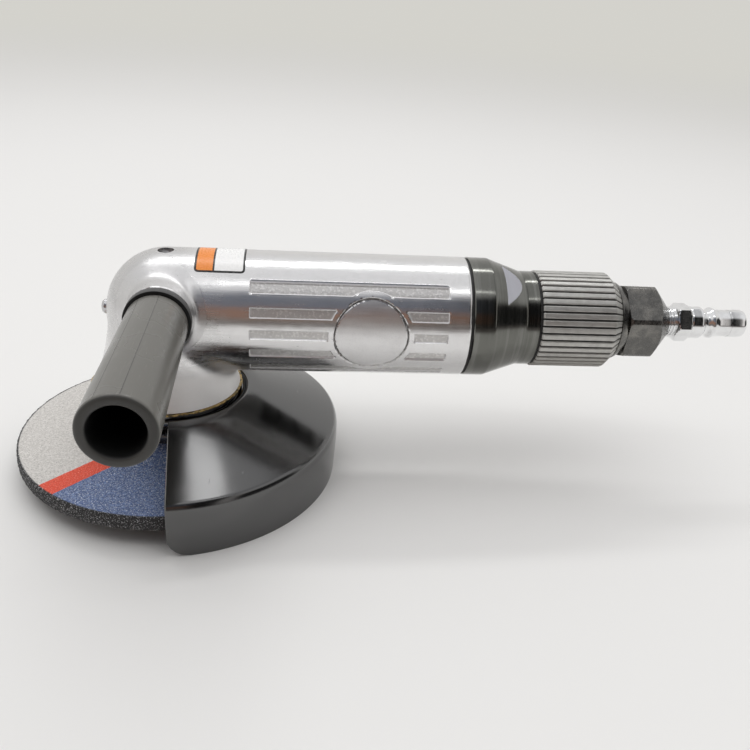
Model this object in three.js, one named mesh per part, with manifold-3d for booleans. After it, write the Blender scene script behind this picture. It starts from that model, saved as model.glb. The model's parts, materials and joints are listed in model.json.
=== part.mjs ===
import * as THREE from 'three';
import { mergeVertices } from 'three/addons/utils/BufferGeometryUtils.js';
import Module from 'manifold-3d';

// A pneumatic angle grinder with its vane motor, bevel gears, half guard and twist throttle.
// Millimetres. The origin is the centre of the spindle's lower end, +Z runs up the spindle,
// +X along the barrel to the air inlet, and the side handle points to -Y.

const wasm = await Module();
wasm.setup();

// Driving dimensions
const wheelDiameter = 125;
const wheelThickness = 6;
const wheelTop = 6.5; // height of the wheel's upper face over the spindle's end
const handleEnd = 106; // reach of the handle from the spindle
const handleRadius = 12;
const gearTeeth = 28;
const pinionTeeth = 14;
const gearModule = 1.0714;

// Clearances
const fit = 0.1; // round a fixed piece in its bore
const running = 0.3; // round a turning piece, and between faces that slide
const over = 1; // how far a cutter runs past the face that it cuts
const sink = 0.2; // how deep a joined shape reaches into its carrier

// Spindle and what it carries
const spindleRadius = 7;
const spindleChamfer = 0.9;
const wheelBoreRadius = 11.1;
const hubRise = 4.6; // the wheel's centre is pressed up by this
const hubRadius = 23;
const hubSlope = 9; // width of the wheel's bent zone
const bendShare = 1 / 3; // how much wider the bend is underneath, as a share of the thickness
const nutRadius = 18;
const nutHeight = 4.4;
const nutHoleRadius = 2.4;
const nutHoleCircle = 13.5;
const flangeRadius = 20;
const flangeThickness = 4.4;
const flangeSpigot = 3.2;
const collarRadius = 10.5;
const hubTop = wheelTop + hubRise;
const hubBottom = hubTop - wheelThickness;
const flangeTop = hubTop + flangeThickness;
const wheelRadius = wheelDiameter / 2;

// Motor and barrel, from the rotor outwards
const rotorRadius = 14;
const linerShift = 2; // of the cylinder's bore under the rotor's axis
const linerWall = 2.2; // where the cylinder is thinnest
const barrelWall = 3.5;
const linerBoreRadius = rotorRadius + linerShift + running;
const motorBoreRadius = linerBoreRadius + linerShift + linerWall;
const barrelRadius = motorBoreRadius + barrelWall;

// Bearing cap, gasket and foot of the housing
const capGap = 4.5; // between the inner flange and the bearing cap
const capHeight = 9.4; // of the cap, up to the face that meets the gasket
const capBottom = flangeTop + capGap;
const capLip = 1.2;
const capNeckRadius = 20;
const capFlangeRadius = 27;
const capFlangeTop = capBottom + capHeight;
const capFlangeThickness = 2.8;
const capSpigotHeight = 3.6;
const capSpigotWall = 1.4;
const sealRadius = 13.3;
const gasketThickness = 0.5;
const footMargin = 2.5; // of the foot round the cap's flange
const footRadius = capFlangeRadius + footMargin;
const footShift = 1.8; // the foot reaches further to the front than to the rear
const footBottom = capFlangeTop + gasketThickness;
const capFlangeBottom = capFlangeTop - capFlangeThickness;
const barrelRise = 32.6; // of the barrel's axis over the bearing cap
const handleRise = 6.3; // of the handle's axis over the barrel's
const axisHeight = capFlangeTop + barrelRise;
const handleHeight = axisHeight + handleRise;
const screwRadius = 2;
const screwHeadRadius = 3;
const screwHeadHeight = 1.9;
const screwLength = 10;
const screwCircle = 23.4;
const screwCount = 4;

// Ball bearings: bore radius, outer radius and width of each
const spindleBearing = { bore: 7.5, outer: 17.5, width: 11, ball: 3.1, balls: 8 };
const frontBearing = { bore: 5, outer: 13, width: 8, ball: 2.3, balls: 7 };
const rearBearing = { bore: 4, outer: 11, width: 7, ball: 2, balls: 7 };
const bearingBottom = capBottom + capLip;
const bearingTop = bearingBottom + spindleBearing.width;
const capSpigotRadius = spindleBearing.outer + capSpigotWall;

// Bevel gears
const gearPitchRadius = (gearModule * gearTeeth) / 2;
const pinionPitchRadius = (gearModule * pinionTeeth) / 2;
const coneLength = Math.hypot(gearPitchRadius, pinionPitchRadius);
const addendumShare = 0.8;
const dedendumShare = 1.15;
const addendum = addendumShare * gearModule;
const dedendum = dedendumShare * gearModule;
const toothShare = 0.66; // the small end of a tooth, as a share of the cone's length
const slimShare = 0.84; // tooth width at the pitch line, as a share of the full width
const flankTangent = Math.tan(THREE.MathUtils.degToRad(22));
const gearDrop = 22; // from the barrel's axis to the gear's lower end
const gearBottom = axisHeight - gearDrop;
const gearHubRadius = 11;
const gearRim = 3; // depth of the gear's rim behind its teeth
const keyWidth = 3;
const keyLength = 9;
const keyDepth = 1.5;
const circlipHeight = 1;
const circlipOpening = 30; // degrees
const circlipGroove = 0.8;
const spacerWall = 1.8;
const gearRootTop = (pinionPitchRadius + (dedendum * gearPitchRadius) / coneLength) * toothShare;
const gearHubTop = axisHeight - gearRootTop - circlipGroove;
const pinionStart = (gearPitchRadius + (dedendum * pinionPitchRadius) / coneLength) * toothShare;

// Gear head of the housing
const headNoseShare = 0.975; // the front of the head, as a share of the barrel's radius
const chamberRadius = 17.7;
const chamberDrop = 4.1; // from the barrel's axis to the gear chamber's roof
const chamberTop = axisHeight - chamberDrop;
const pinionChamberRadius = 9.4;
const pinionChamberStart = 9.2;
const bushRadius = 8.6;
const bushRise = 7; // of the bush over the barrel's axis
const bushBottom = axisHeight + bushRise;
const bushHeight = 8;
const topSpindleRadius = 6;
const plugRadius = 2.95;
const plugRecess = 1.4;
const plugGap = 1.1; // between the bush and the plug
const plugSocketRadius = 1.6;
const plugSocketDepth = 3;
const bossRadius = 12.4;
const bossProud = 1.8; // of the handle's boss past the barrel
const bossEnd = barrelRadius + bossProud;
const studRadius = 5;
const studStart = 12.5;

// Vane motor
const motorStart = 36.5;
const frontPlateThickness = 6.2;
const frontPlateSpigot = 2;
const linerLength = 50;
const frontPlateStart = motorStart + running;
const linerStart = frontPlateStart + frontPlateThickness;
const linerEnd = linerStart + linerLength;
const rotorGap = 0.3; // between the rotor's ends and the plates
const vaneCount = 5;
const vaneThickness = 2.2;
const slotClearance = 0.2;
const slotFloor = 6;
const vaneTipDrop = 0.15;
const rotorNoseRadius = 3;
const rearPlateLip = 1.2;
const rearSpace = 16; // behind the motor, up to the housing's rear face
const rearSeat = linerEnd + rearPlateLip;
const rearPlateEnd = rearSeat + rearBearing.width;
const frontSeat = frontPlateStart - frontPlateSpigot - frontBearing.width;
const bearingWeb = frontSeat - running; // where the front bearing's bore starts
const barrelEnd = rearPlateEnd + rearSpace;
const dowelRadius = 1.2;
const dowelCircle = 17.6;
const dowelLength = 8;
const portRadius = 1.6;
const portCircle = 16;

// Cast pockets on both sides of the barrel
const pocketDepth = 0.7;
const pocketStart = 32.5;
const pocketMargin = 8.8; // from the pockets to the barrel's rear face
const pocketEnd = barrelEnd - pocketMargin;
const pocketPitch = 8.25;
const pocketHalfWidth = 1.95;
const pocketRows = 5;
const padCentre = 78.7;
const padClearRadius = 16.4;
const padRadius = 14.6;
const padGroove = 0.9;

// Exhaust slots under the barrel
const exhaustCount = 4;
const exhaustPitch = 9;
const exhaustInset = 11; // from the liner's front to the first slot
const exhaustStart = linerStart + exhaustInset;
const exhaustWidth = 3;
const exhaustLength = 14;

// Spindle lock
const lockButtonRadius = 2.9;
const lockProud = 2.3;
const crownShare = 0.6; // flat part of the button's rounded end
const lockStemRadius = 1.8;
const lockFlangeRadius = 3.4;
const lockFlangeWidth = 1.5;
const lockCollarRadius = 3.9;
const lockCollarRecess = 0.2;
const lockCollarWidth = 3.4;
const lockWeb = 1.3; // between the spring's bore and the spindle's bore
const lockTravel = 3.2;
const noseFront = -barrelRadius * headNoseShare;
const lockCollarStart = noseFront + lockCollarRecess;
const lockCollarEnd = lockCollarStart + lockCollarWidth;
const lockTip = -spindleRadius - over;
const lockBoreEnd = -(spindleRadius + running + over + lockWeb);
const lockWire = 0.45;
const lockSpringRadius = 2.75;
const lockTurns = 4;
const slotPlay = 0.5; // beside the pin, in a spindle slot
const slotHeadroom = 0.7; // above and below the pin
const slotHalfWidth = lockStemRadius + slotPlay;
const slotDepthRadius = -lockTip - lockTravel - running - fit;
const slotHalfHeight = lockStemRadius + slotHeadroom;
const lockSlots = 4;

// Rear cap, its rings and its spanner flats
const ringWidth = 1;
const ringInset = 0.6; // of a ring's edge under its neighbour's
const ringRadius = barrelRadius - ringInset;
const capShoulderWidth = 8.2;
const capConeWidth = 13.8;
const capNoseWidth = 5.5;
const capShoulderEnd = barrelEnd + ringWidth + capShoulderWidth;
const capConeEnd = capShoulderEnd + capConeWidth;
const capNoseRadius = 19.2;
const capEnd = capConeEnd + capNoseWidth;
const capWall = 4;
const capChamberRadius = motorBoreRadius - capWall;
const capChamberDepth = 1.6; // of the air chamber past the cap's shoulder
const capChamberEnd = capShoulderEnd + capChamberDepth;
const flatStep = 0.6; // of a spanner flat over the cap's nose
const flatDistance = capNoseRadius + flatStep;
const flatLength = 8.7;
const flatStart = capConeEnd - flatLength;
const flatAngle = 62; // degrees up from the handle's side
const neckRingRadius = capNoseRadius - ringInset;

// Throttle sleeve and what it turns
const sleeveLength = 33.3;
const sleeveStart = capEnd + ringWidth;
const sleeveEnd = sleeveStart + sleeveLength;
const sleeveProud = 0.45; // over the cap's nose
const sleeveRadius = capNoseRadius + sleeveProud;
const sleeveGrooves = 42;
const grooveDepth = 0.8;
const ridgeShare = 0.6;
const sleeveChamfer = 4;
const sleeveTipRadius = 16.1;
const tubeRadius = 12.5;
const tubeInset = 2; // from the cap's chamber to the tube's front end
const tubeStart = capChamberEnd + tubeInset;
const valveBoreRadius = 8.8;
const valveFloor = 3; // from the valve's bore to the sleeve's rear end
const valveBoreEnd = sleeveEnd - valveFloor;
const throttleTurn = THREE.MathUtils.degToRad(60); // from shut to open
const plateInset = 0.8; // from the cap's end to the port plate
const plateThickness = 3.5;
const plateStart = capEnd + plateInset;
const plateEnd = plateStart + plateThickness;
const spoolStart = plateEnd + running;
const spoolLength = 19.7;
const spoolEnd = spoolStart + spoolLength;
const portHalfAngle = 0.5; // radians
const portInner = 3.2;
const portOuter = 7;
const pinInset = 9.7; // from the spool's front to the cross pin
const pinPlace = spoolStart + pinInset;
const pinRadius = 1.8;
const pinInner = 2;
const slotStartAngle = -16; // degrees, of the slot that the cross pin sweeps
const slotEndAngle = 76;
const sealWidth = 1.8;
const sealInset = 5; // from the cross pin to the seal
const sealPlace = pinPlace + sealInset;
const sealDepth = 1.1;

// Inlet bushing and nipple
const bushingCollarRadius = 16;
const bushingCollarWidth = 4;
const bushingCollarEnd = sleeveEnd + bushingCollarWidth;
const bushingCollarTip = 14.4;
const bushingHexAcross = 28.7;
const bushingHexWidth = 14;
const bushingHexLean = Math.PI / 9; // of its front corner above the handle's side
const bushingHexEnd = bushingCollarEnd + bushingHexWidth;
const bushingConeLap = 1.4; // how far the cone reaches into the hexagon
const bushingConeWidth = 7.4;
const bushingConeStart = bushingHexEnd - bushingConeLap;
const bushingConeEnd = bushingConeStart + bushingConeWidth;
const bushingTipRadius = 7.4;
const bushingBoreRadius = 4.5;
const threadRadius = 6.4;
const threadLength = 9;
const threadStart = bushingConeEnd - threadLength;
const nippleGap = 4.3; // of bare thread before the nipple's hexagon
const nippleHexWidth = 6.3;
const nippleHexStart = bushingConeEnd + nippleGap;
const nippleHexEnd = nippleHexStart + nippleHexWidth;
const nippleHexAcross = 14;
const nippleBoreRadius = 3.5;
const plugBodyRadius = 6.7;
const plugBodyLength = 5.4;
const plugBodyEnd = nippleHexEnd + plugBodyLength;
const catchRadius = 5.3; // of the groove that the coupler's balls drop into
const catchSlope = 2.5;
const catchPlace = plugBodyEnd + catchSlope;
const plugBulgeRadius = 6.5;
const bulgeSlope = 2.2;
const plugBulge = catchPlace + bulgeSlope;
const plugStemRadius = 5.6;
const stemSlope = 7.9;
const plugStem = plugBulge + stemSlope;
const plugTipRadius = 5.45;
const plugTipLength = 6.4;
const inletEnd = plugStem + plugTipLength; // tip of the hose nipple, from the spindle

// Side handle
const washerThickness = 4;
const washerInset = 0.1; // of the washer's edge from the boss's
const washerRadius = bossRadius - washerInset;
const gripStart = bossEnd + washerThickness;
const gripStartRadius = 11.2;
const gripBoreRadius = 8.4;
const gripFloor = 50;
const studEnd = 48;

// Guard
const guardThickness = 1.8;
const guardRingInner = capNeckRadius + running;
const guardRingTop = capFlangeBottom - running;
const guardRingRadius = 28.6;
const guardShoulderRadius = 33.5;
const guardShoulderDrop = 0.9; // under the bearing cap's upper face
const guardMidRadius = 56;
const guardEdgeGap = 4.2; // between the wheel's rim and the guard's edge
const guardEdgeRise = 9.5; // of the guard's edge over the wheel
const guardMidRise = 5.2; // of its middle over its edge
const guardRimFlare = 1.3;
const guardEdgeBend = 2.3;
const guardRimDrop = 13.6; // of the rim's lower edge under the wheel's upper face
const guardShoulderTop = capFlangeTop - guardShoulderDrop;
const guardEdgeRadius = wheelRadius + guardEdgeGap;
const guardEdgeTop = wheelTop + guardEdgeRise;
const guardMidTop = guardEdgeTop + guardMidRise;
const guardRimRadius = guardEdgeRadius + guardRimFlare;
const guardRimTop = guardEdgeTop - guardEdgeBend;
const guardRimBottom = wheelTop - guardRimDrop;
const guardStartAngle = -85.5; // degrees from +X
const guardEndAngle = 94.5;
const guardCorner = 8;
const foldShare = 0.25; // how far a fold's two faces lie apart sideways, as a share of the sheet
const lockRingRadius = 24;
const lockRingRise = 2; // over the bearing cap's lower face
const lockRingBottom = capBottom + lockRingRise;
const lockRingNotches = 4;
const lockRingNotch = 3;

// Numbers of sides, kept low where a piece is small or hidden
const fine = 36;
const middling = 20;
const coarse = 14;

const look = (color, roughness, metalness) =>
	new THREE.MeshStandardMaterial({ color, roughness, metalness });
const finishes = {
	castAluminium: look(0xc3c4c8, 0.22, 1),
	blackSteel: look(0x1c1d20, 0.3, 0.9),
	gunmetal: look(0x4b4e53, 0.18, 1),
	gripSteel: look(0x8d8f92, 0.38, 1),
	groundSteel: look(0xb9bbbe, 0.3, 1),
	toolSteel: look(0x74777b, 0.4, 1),
	plating: look(0xd9dbde, 0.1, 1),
	gasketGold: look(0xb08d46, 0.55, 0.6),
	bronze: look(0x9c7437, 0.45, 1),
	handlePlastic: look(0x222325, 0.45, 0),
	sealRubber: look(0x151515, 0.8, 0),
	vaneResin: look(0x5b3a1e, 0.6, 0),
	guardPaint: look(0x121315, 0.15, 0.3),
	abrasive: look(0x2b2c30, 0.9, 0),
};

// Drops normals and shares corners, so that only a closed skin of positions is left.
function skin(geometry) {
	const bare = geometry.index ? geometry.toNonIndexed() : geometry.clone();
	for (const name of Object.keys(bare.attributes)) {
		if (name !== 'position') bare.deleteAttribute(name);
	}
	return mergeVertices(bare, 1e-5);
}

// Makes a solid that can be joined and cut.
function solid(geometry) {
	const bare = skin(geometry);
	return new wasm.Manifold(
		new wasm.Mesh({
			numProp: 3,
			vertProperties: new Float32Array(bare.attributes.position.array),
			triVerts: new Uint32Array(bare.index.array),
		}),
	);
}

// Gives the geometry of a solid back.
function shell(body) {
	const mesh = body.getMesh();
	const geometry = new THREE.BufferGeometry();
	geometry.setAttribute('position', new THREE.BufferAttribute(mesh.vertProperties, 3));
	geometry.setIndex(new THREE.BufferAttribute(mesh.triVerts, 1));
	return geometry;
}

const cut = (geometry, ...cutters) =>
	shell(cutters.reduce((body, cutter) => body.subtract(solid(cutter)), solid(geometry)));
const join = (geometry, ...others) =>
	shell(others.reduce((body, other) => body.add(solid(other)), solid(geometry)));
const common = (geometry, other) => shell(solid(geometry).intersect(solid(other)));

// Turns an outline of [radius, height] points about +Z. The outline closes on itself, unless it starts and
// ends on the axis, and is put in the order that makes its faces point out.
function turned(outline, sides) {
	const points = outline.map(([radius, height]) => new THREE.Vector2(radius, height));
	if (THREE.ShapeUtils.area(points) < 0) points.reverse();
	if (points[0].x > 0 || points.at(-1).x > 0) points.push(points[0].clone());
	return new THREE.LatheGeometry(points, sides).rotateX(Math.PI / 2);
}

const alongX = (geometry) => geometry.rotateY(Math.PI / 2);
const alongHandle = (geometry) => geometry.rotateX(Math.PI / 2);

const rod = (radius, from, to, sides) =>
	turned([[0, from], [radius, from], [radius, to], [0, to]], sides);
const ring = (inner, outer, from, to, sides) =>
	turned([[inner, from], [outer, from], [outer, to], [inner, to]], sides);

// A block between two corners.
function block(low, high) {
	const size = high.map((value, axis) => value - low[axis]);
	const centre = high.map((value, axis) => (value + low[axis]) / 2);
	return new THREE.BoxGeometry(...size).translate(...centre);
}

// A prism on a closed outline of [x, y] points, from one height to another.
function prism(outline, from, to) {
	const shape = new THREE.Shape(outline.map(([x, y]) => new THREE.Vector2(x, y)));
	const geometry = new THREE.ExtrudeGeometry(shape, { depth: to - from, bevelEnabled: false });
	return geometry.translate(0, 0, from);
}

// A regular hexagonal prism with a corner at the given angle.
function hexagon(across, from, to, turn = 0) {
	const radius = across / 2 / Math.cos(Math.PI / 6);
	const corner = (index) => [
		radius * Math.cos(turn + (index * Math.PI) / 3),
		radius * Math.sin(turn + (index * Math.PI) / 3),
	];
	return prism(Array.from({ length: 6 }, (_, index) => corner(index)), from, to);
}

// Points on an arc about the origin.
function arc(radius, from, to, steps) {
	return Array.from({ length: steps + 1 }, (_, index) => {
		const angle = from + ((to - from) * index) / steps;
		return [radius * Math.cos(angle), radius * Math.sin(angle)];
	});
}

// Carries a closed [radius, height] outline round part of a turn, with flat ends.
function swept(outline, fromDegrees, toDegrees, steps) {
	const count = outline.length;
	const positions = [];
	const faces = [];
	for (let step = 0; step <= steps; step++) {
		const share = step / steps;
		const angle = THREE.MathUtils.degToRad(fromDegrees + (toDegrees - fromDegrees) * share);
		for (const [radius, height] of outline) {
			positions.push(radius * Math.cos(angle), radius * Math.sin(angle), height);
		}
	}
	for (let step = 0; step < steps; step++) {
		for (let index = 0; index < count; index++) {
			const next = (index + 1) % count;
			const a = step * count + index;
			const b = step * count + next;
			faces.push(a, a + count, b, b, a + count, b + count);
		}
	}
	const points = outline.map(([radius, height]) => new THREE.Vector2(radius, height));
	for (const [a, b, c] of THREE.ShapeUtils.triangulateShape(points, [])) {
		const last = steps * count;
		faces.push(a, b, c, last + a, last + c, last + b);
	}
	const geometry = new THREE.BufferGeometry();
	geometry.setAttribute('position', new THREE.Float32BufferAttribute(positions, 3));
	geometry.setIndex(faces);
	return geometry;
}

// Calls make with evenly spread angles and the index of each.
const spread = (count, make, start = 0) =>
	Array.from({ length: count }, (_, index) => make(start + (index * 2 * Math.PI) / count, index));

// Housing

// Foot and neck of the head: rings about the spindle that widen downwards and shift to the front.
function neckGeometry() {
	const drop = axisHeight - footBottom;
	const levels = [
		[1, 1, 1],
		[0.786, 0.6, 0.77],
		[0.63, 0.42, 0.6],
		[0.37, 0.16, 0.3],
		[0.11, 0, 0.03],
		[0, 0, 0],
	]; // shares of the drop, of the flare and of the shift
	const narrow = barrelRadius * headNoseShare;
	const heights = levels.map(([share]) => axisHeight - drop * share);
	const outline = levels.map(([, flare], index) => [
		narrow + (footRadius - narrow) * flare,
		heights[index],
	]);
	const last = heights.length - 1;
	const geometry = turned([[0, heights[0]], ...outline, [0, heights[last]]], fine);
	const place = geometry.attributes.position;
	for (let index = 0; index < place.count; index++) {
		const height = place.getZ(index);
		const level = heights.findIndex((value) => Math.abs(value - height) < gasketThickness / 2);
		place.setX(index, place.getX(index) - footShift * levels[level][2]);
	}
	return geometry;
}

// Raised parts that are left out of the side pockets stand at the barrel's own radius.
function pocketCutters() {
	const reach = barrelRadius + over;
	const depthRing = alongX(
		ring(barrelRadius - pocketDepth, reach + over, pocketStart - over, pocketEnd + over, fine),
	);
	const bars = [];
	for (let row = 0; row < pocketRows; row++) {
		const height = (row - (pocketRows - 1) / 2) * pocketPitch;
		bars.push(
			block(
				[pocketStart, -reach, height - pocketHalfWidth],
				[pocketEnd, reach, height + pocketHalfWidth],
			),
		);
	}
	const alongSide = (geometry) => geometry.rotateX(Math.PI / 2).translate(padCentre, 0, 0);
	const clear = alongSide(rod(padClearRadius, -reach, reach, middling));
	const groove = alongSide(
		ring(padRadius - padGroove, padRadius, -reach, reach, middling),
	);
	const outline = join(bars[0], ...bars.slice(1));
	return common(join(cut(outline, clear), groove), depthRing);
}

function exhaustCutters() {
	return Array.from({ length: exhaustCount }, (_, index) => {
		const x = exhaustStart + index * exhaustPitch;
		return block(
			[x - exhaustWidth / 2, -exhaustLength / 2, -barrelRadius - over],
			[x + exhaustWidth / 2, exhaustLength / 2, -linerBoreRadius],
		);
	});
}

function housingGeometry() {
	const up = (geometry) => geometry.translate(0, 0, axisHeight);
	const nose = arc(barrelRadius, -Math.PI / 2, 0, coarse / 2).map(([radius, place], index) => [
		index ? radius : 0,
		place * headNoseShare,
	]);
	const barrel = alongX(turned([...nose, [barrelRadius, barrelEnd], [0, barrelEnd]], fine));
	const boss = alongHandle(rod(bossRadius, 0, bossEnd, middling));
	const outside = join(
		up(barrel),
		neckGeometry(),
		boss.translate(0, 0, handleHeight),
	);
	const lockBore = (radius, from, to) => up(alongX(rod(radius, from, to, coarse)));
	const studHole = alongHandle(rod(studRadius + fit, studStart, bossEnd + over, coarse));
	const screwHoles = spread(
		screwCount,
		(angle) =>
			rod(screwRadius + fit, footBottom - over, capFlangeBottom + screwLength + fit, coarse / 2)
				.translate(screwCircle * Math.cos(angle), screwCircle * Math.sin(angle), 0),
		Math.PI / 4,
	);
	return cut(
		outside,
		up(alongX(rod(motorBoreRadius, motorStart, barrelEnd + over, fine))),
		up(alongX(rod(frontBearing.outer + fit, bearingWeb, motorStart + over, middling))),
		up(alongX(rod(pinionChamberRadius, pinionChamberStart, bearingWeb + over, middling))),
		rod(chamberRadius, footBottom - over, chamberTop, middling),
		rod(
			capSpigotRadius + fit,
			footBottom - over,
			capFlangeTop + capSpigotHeight + fit,
			middling,
		),
		rod(spindleRadius + running + over, chamberTop - over, bushBottom, coarse),
		rod(bushRadius + fit, bushBottom - sink, bushBottom + bushHeight, coarse),
		rod(plugRadius + fit, bushBottom + bushHeight - over, axisHeight + barrelRadius + over, coarse),
		lockBore(lockCollarRadius + fit, -barrelRadius - over, lockCollarEnd),
		lockBore(lockFlangeRadius + fit, lockCollarEnd - over, lockBoreEnd),
		lockBore(lockStemRadius + fit, lockBoreEnd - over, lockTip + 2 * over),
		studHole.translate(0, 0, handleHeight),
		up(pocketCutters()),
		...exhaustCutters().map(up),
		...screwHoles,
	);
}

const gasketGeometry = () => {
	const geometry = ring(
		capSpigotRadius + fit,
		footRadius,
		capFlangeTop,
		footBottom,
		fine,
	);
	const holes = spread(
		screwCount,
		(angle) =>
			rod(screwRadius + fit, capFlangeTop - over, footBottom + over, coarse / 2)
				.translate(screwCircle * Math.cos(angle), screwCircle * Math.sin(angle), 0),
		Math.PI / 4,
	);
	const place = geometry.attributes.position;
	for (let index = 0; index < place.count; index++) {
		const outer = Math.hypot(place.getX(index), place.getY(index)) > capFlangeRadius;
		if (outer) place.setX(index, place.getX(index) - footShift);
	}
	return cut(geometry, ...holes);
};

// Screw with a flush head, its head down.
function screwOutline(clearance) {
	const bottom = capFlangeBottom + (clearance ? -over : fit);
	const neck = capFlangeBottom + screwHeadHeight;
	const top = capFlangeBottom + screwLength + (clearance ? over : 0);
	return [
		[0, bottom],
		[screwHeadRadius + clearance, bottom],
		[screwHeadRadius + clearance, capFlangeBottom + fit + fit],
		[screwRadius + clearance, neck],
		[screwRadius + clearance, top],
		[0, top],
	];
}

function bearingCapGeometry() {
	const bore = spindleBearing.outer + fit;
	const body = turned(
		[
			[sealRadius + fit, capBottom],
			[capNeckRadius, capBottom],
			[capNeckRadius, capFlangeBottom],
			[capFlangeRadius, capFlangeBottom],
			[capFlangeRadius, capFlangeTop],
			[capSpigotRadius, capFlangeTop],
			[capSpigotRadius, capFlangeTop + capSpigotHeight],
			[bore, capFlangeTop + capSpigotHeight],
			[bore, bearingBottom],
			[sealRadius + fit, bearingBottom],
		],
		middling,
	);
	const holes = spread(
		screwCount,
		(angle) =>
			turned(screwOutline(fit), coarse / 2)
				.translate(screwCircle * Math.cos(angle), screwCircle * Math.sin(angle), 0),
		Math.PI / 4,
	);
	return cut(body, ...holes);
}

// Ball bearings, centred on the axis with their lower face at the given place

// Half the width of each race, as a share of the gap between bore and outer radius.
const raceShare = 0.31;
const raceOf = (bearing) => (bearing.outer - bearing.bore) * raceShare;
const ballCircle = (bearing) => (bearing.outer + bearing.bore) / 2;

// The track is a shallow trapezoid, deep enough for a ball with its running clearance.
function outerRace(bearing, from, sides) {
	const land = bearing.outer - raceOf(bearing);
	const track = ballCircle(bearing) + bearing.ball + running;
	const middle = from + bearing.width / 2;
	return turned(
		[
			[land, from],
			[bearing.outer, from],
			[bearing.outer, from + bearing.width],
			[land, from + bearing.width],
			[land, middle + bearing.ball],
			[track, middle + bearing.ball / 2],
			[track, middle - bearing.ball / 2],
			[land, middle - bearing.ball],
		],
		sides,
	);
}

function innerRace(bearing, from, sides) {
	const land = bearing.bore + raceOf(bearing);
	const track = ballCircle(bearing) - bearing.ball - running;
	const middle = from + bearing.width / 2;
	return turned(
		[
			[bearing.bore + fit / 2, from],
			[land, from],
			[land, middle - bearing.ball],
			[track, middle - bearing.ball / 2],
			[track, middle + bearing.ball / 2],
			[land, middle + bearing.ball],
			[land, from + bearing.width],
			[bearing.bore + fit / 2, from + bearing.width],
		],
		sides,
	);
}

// The balls and the band that keeps them apart, as one piece.
function ballCage(bearing, from) {
	const middle = from + bearing.width / 2;
	const gap = raceOf(bearing) + running;
	const band = ring(
		bearing.bore + gap,
		bearing.outer - gap,
		middle - bearing.ball / 2,
		middle + bearing.ball / 2,
		2 * bearing.balls,
	);
	const balls = spread(bearing.balls, (angle) =>
		new THREE.IcosahedronGeometry(bearing.ball, 0).translate(
			ballCircle(bearing) * Math.cos(angle),
			ballCircle(bearing) * Math.sin(angle),
			middle,
		),
	);
	return join(band, ...balls);
}

// Bevel gears. In both, the cone's tip is the origin and the teeth lie along +Z from it.

function bevelTooth(pitchRadius, pitchPlace, teeth, angle) {
	const sine = pitchRadius / coneLength;
	const cosine = pitchPlace / coneLength;
	const halfPitch = (Math.PI * gearModule * slimShare) / 4;
	const corner = (depth, side, share) => {
		const radius = (pitchRadius + depth * cosine) * share;
		const place = (pitchPlace - depth * sine) * share;
		const half = (halfPitch - depth * flankTangent) * share * side;
		return [
			radius * Math.cos(angle) - half * Math.sin(angle),
			radius * Math.sin(angle) + half * Math.cos(angle),
			place,
		];
	};
	const root = -dedendum - sink;
	const corners = [];
	for (const share of [toothShare, 1]) {
		corners.push(corner(root, -1, share), corner(root, 1, share));
		corners.push(corner(addendum, 1, share), corner(addendum, -1, share));
	}
	const faces = [
		0, 1, 2, 0, 2, 3, 4, 6, 5, 4, 7, 6, 0, 5, 1, 0, 4, 5,
		1, 6, 2, 1, 5, 6, 2, 7, 3, 2, 6, 7, 3, 4, 0, 3, 7, 4,
	];
	const geometry = new THREE.BufferGeometry();
	geometry.setAttribute('position', new THREE.Float32BufferAttribute(corners.flat(), 3));
	geometry.setIndex(faces);
	return geometry;
}

const rootPoint = (pitchRadius, pitchPlace, share) => [
	(pitchRadius - (dedendum * pitchPlace) / coneLength) * share,
	(pitchPlace + (dedendum * pitchRadius) / coneLength) * share,
];

function bevelGearGeometry() {
	const big = rootPoint(gearPitchRadius, pinionPitchRadius, 1);
	const small = rootPoint(gearPitchRadius, pinionPitchRadius, toothShare);
	const bore = spindleRadius + fit;
	const bottom = axisHeight - gearBottom;
	const body = turned(
		[
			[bore, small[1] + circlipGroove],
			[small[0], small[1] + circlipGroove],
			small,
			big,
			[big[0], big[1] + gearRim],
			[gearHubRadius, big[1] + gearRim + gearRim],
			[gearHubRadius, bottom],
			[bore, bottom],
		],
		gearTeeth,
	).rotateZ(Math.PI / gearTeeth);
	const teeth = spread(gearTeeth, (angle) =>
		bevelTooth(gearPitchRadius, pinionPitchRadius, gearTeeth, angle),
	);
	const keyway = block(
		[-keyWidth / 2 - fit, 0, bottom - keyLength - fit],
		[keyWidth / 2 + fit, spindleRadius + keyDepth + fit, bottom + over],
	);
	return cut(join(body, ...teeth), keyway).rotateX(Math.PI);
}

function pinionGeometry() {
	const big = rootPoint(pinionPitchRadius, gearPitchRadius, 1);
	const small = rootPoint(pinionPitchRadius, gearPitchRadius, toothShare);
	const bore = rotorNoseRadius + fit;
	const body = turned(
		[
			[bore, small[1]],
			small,
			big,
			[big[0], frontSeat],
			[bore, frontSeat],
		],
		pinionTeeth * 2,
	);
	const teeth = spread(
		pinionTeeth,
		(angle) => bevelTooth(pinionPitchRadius, gearPitchRadius, pinionTeeth, angle),
		Math.PI / pinionTeeth,
	);
	return alongX(join(body, ...teeth));
}

// Spindle and what turns with it

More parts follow.
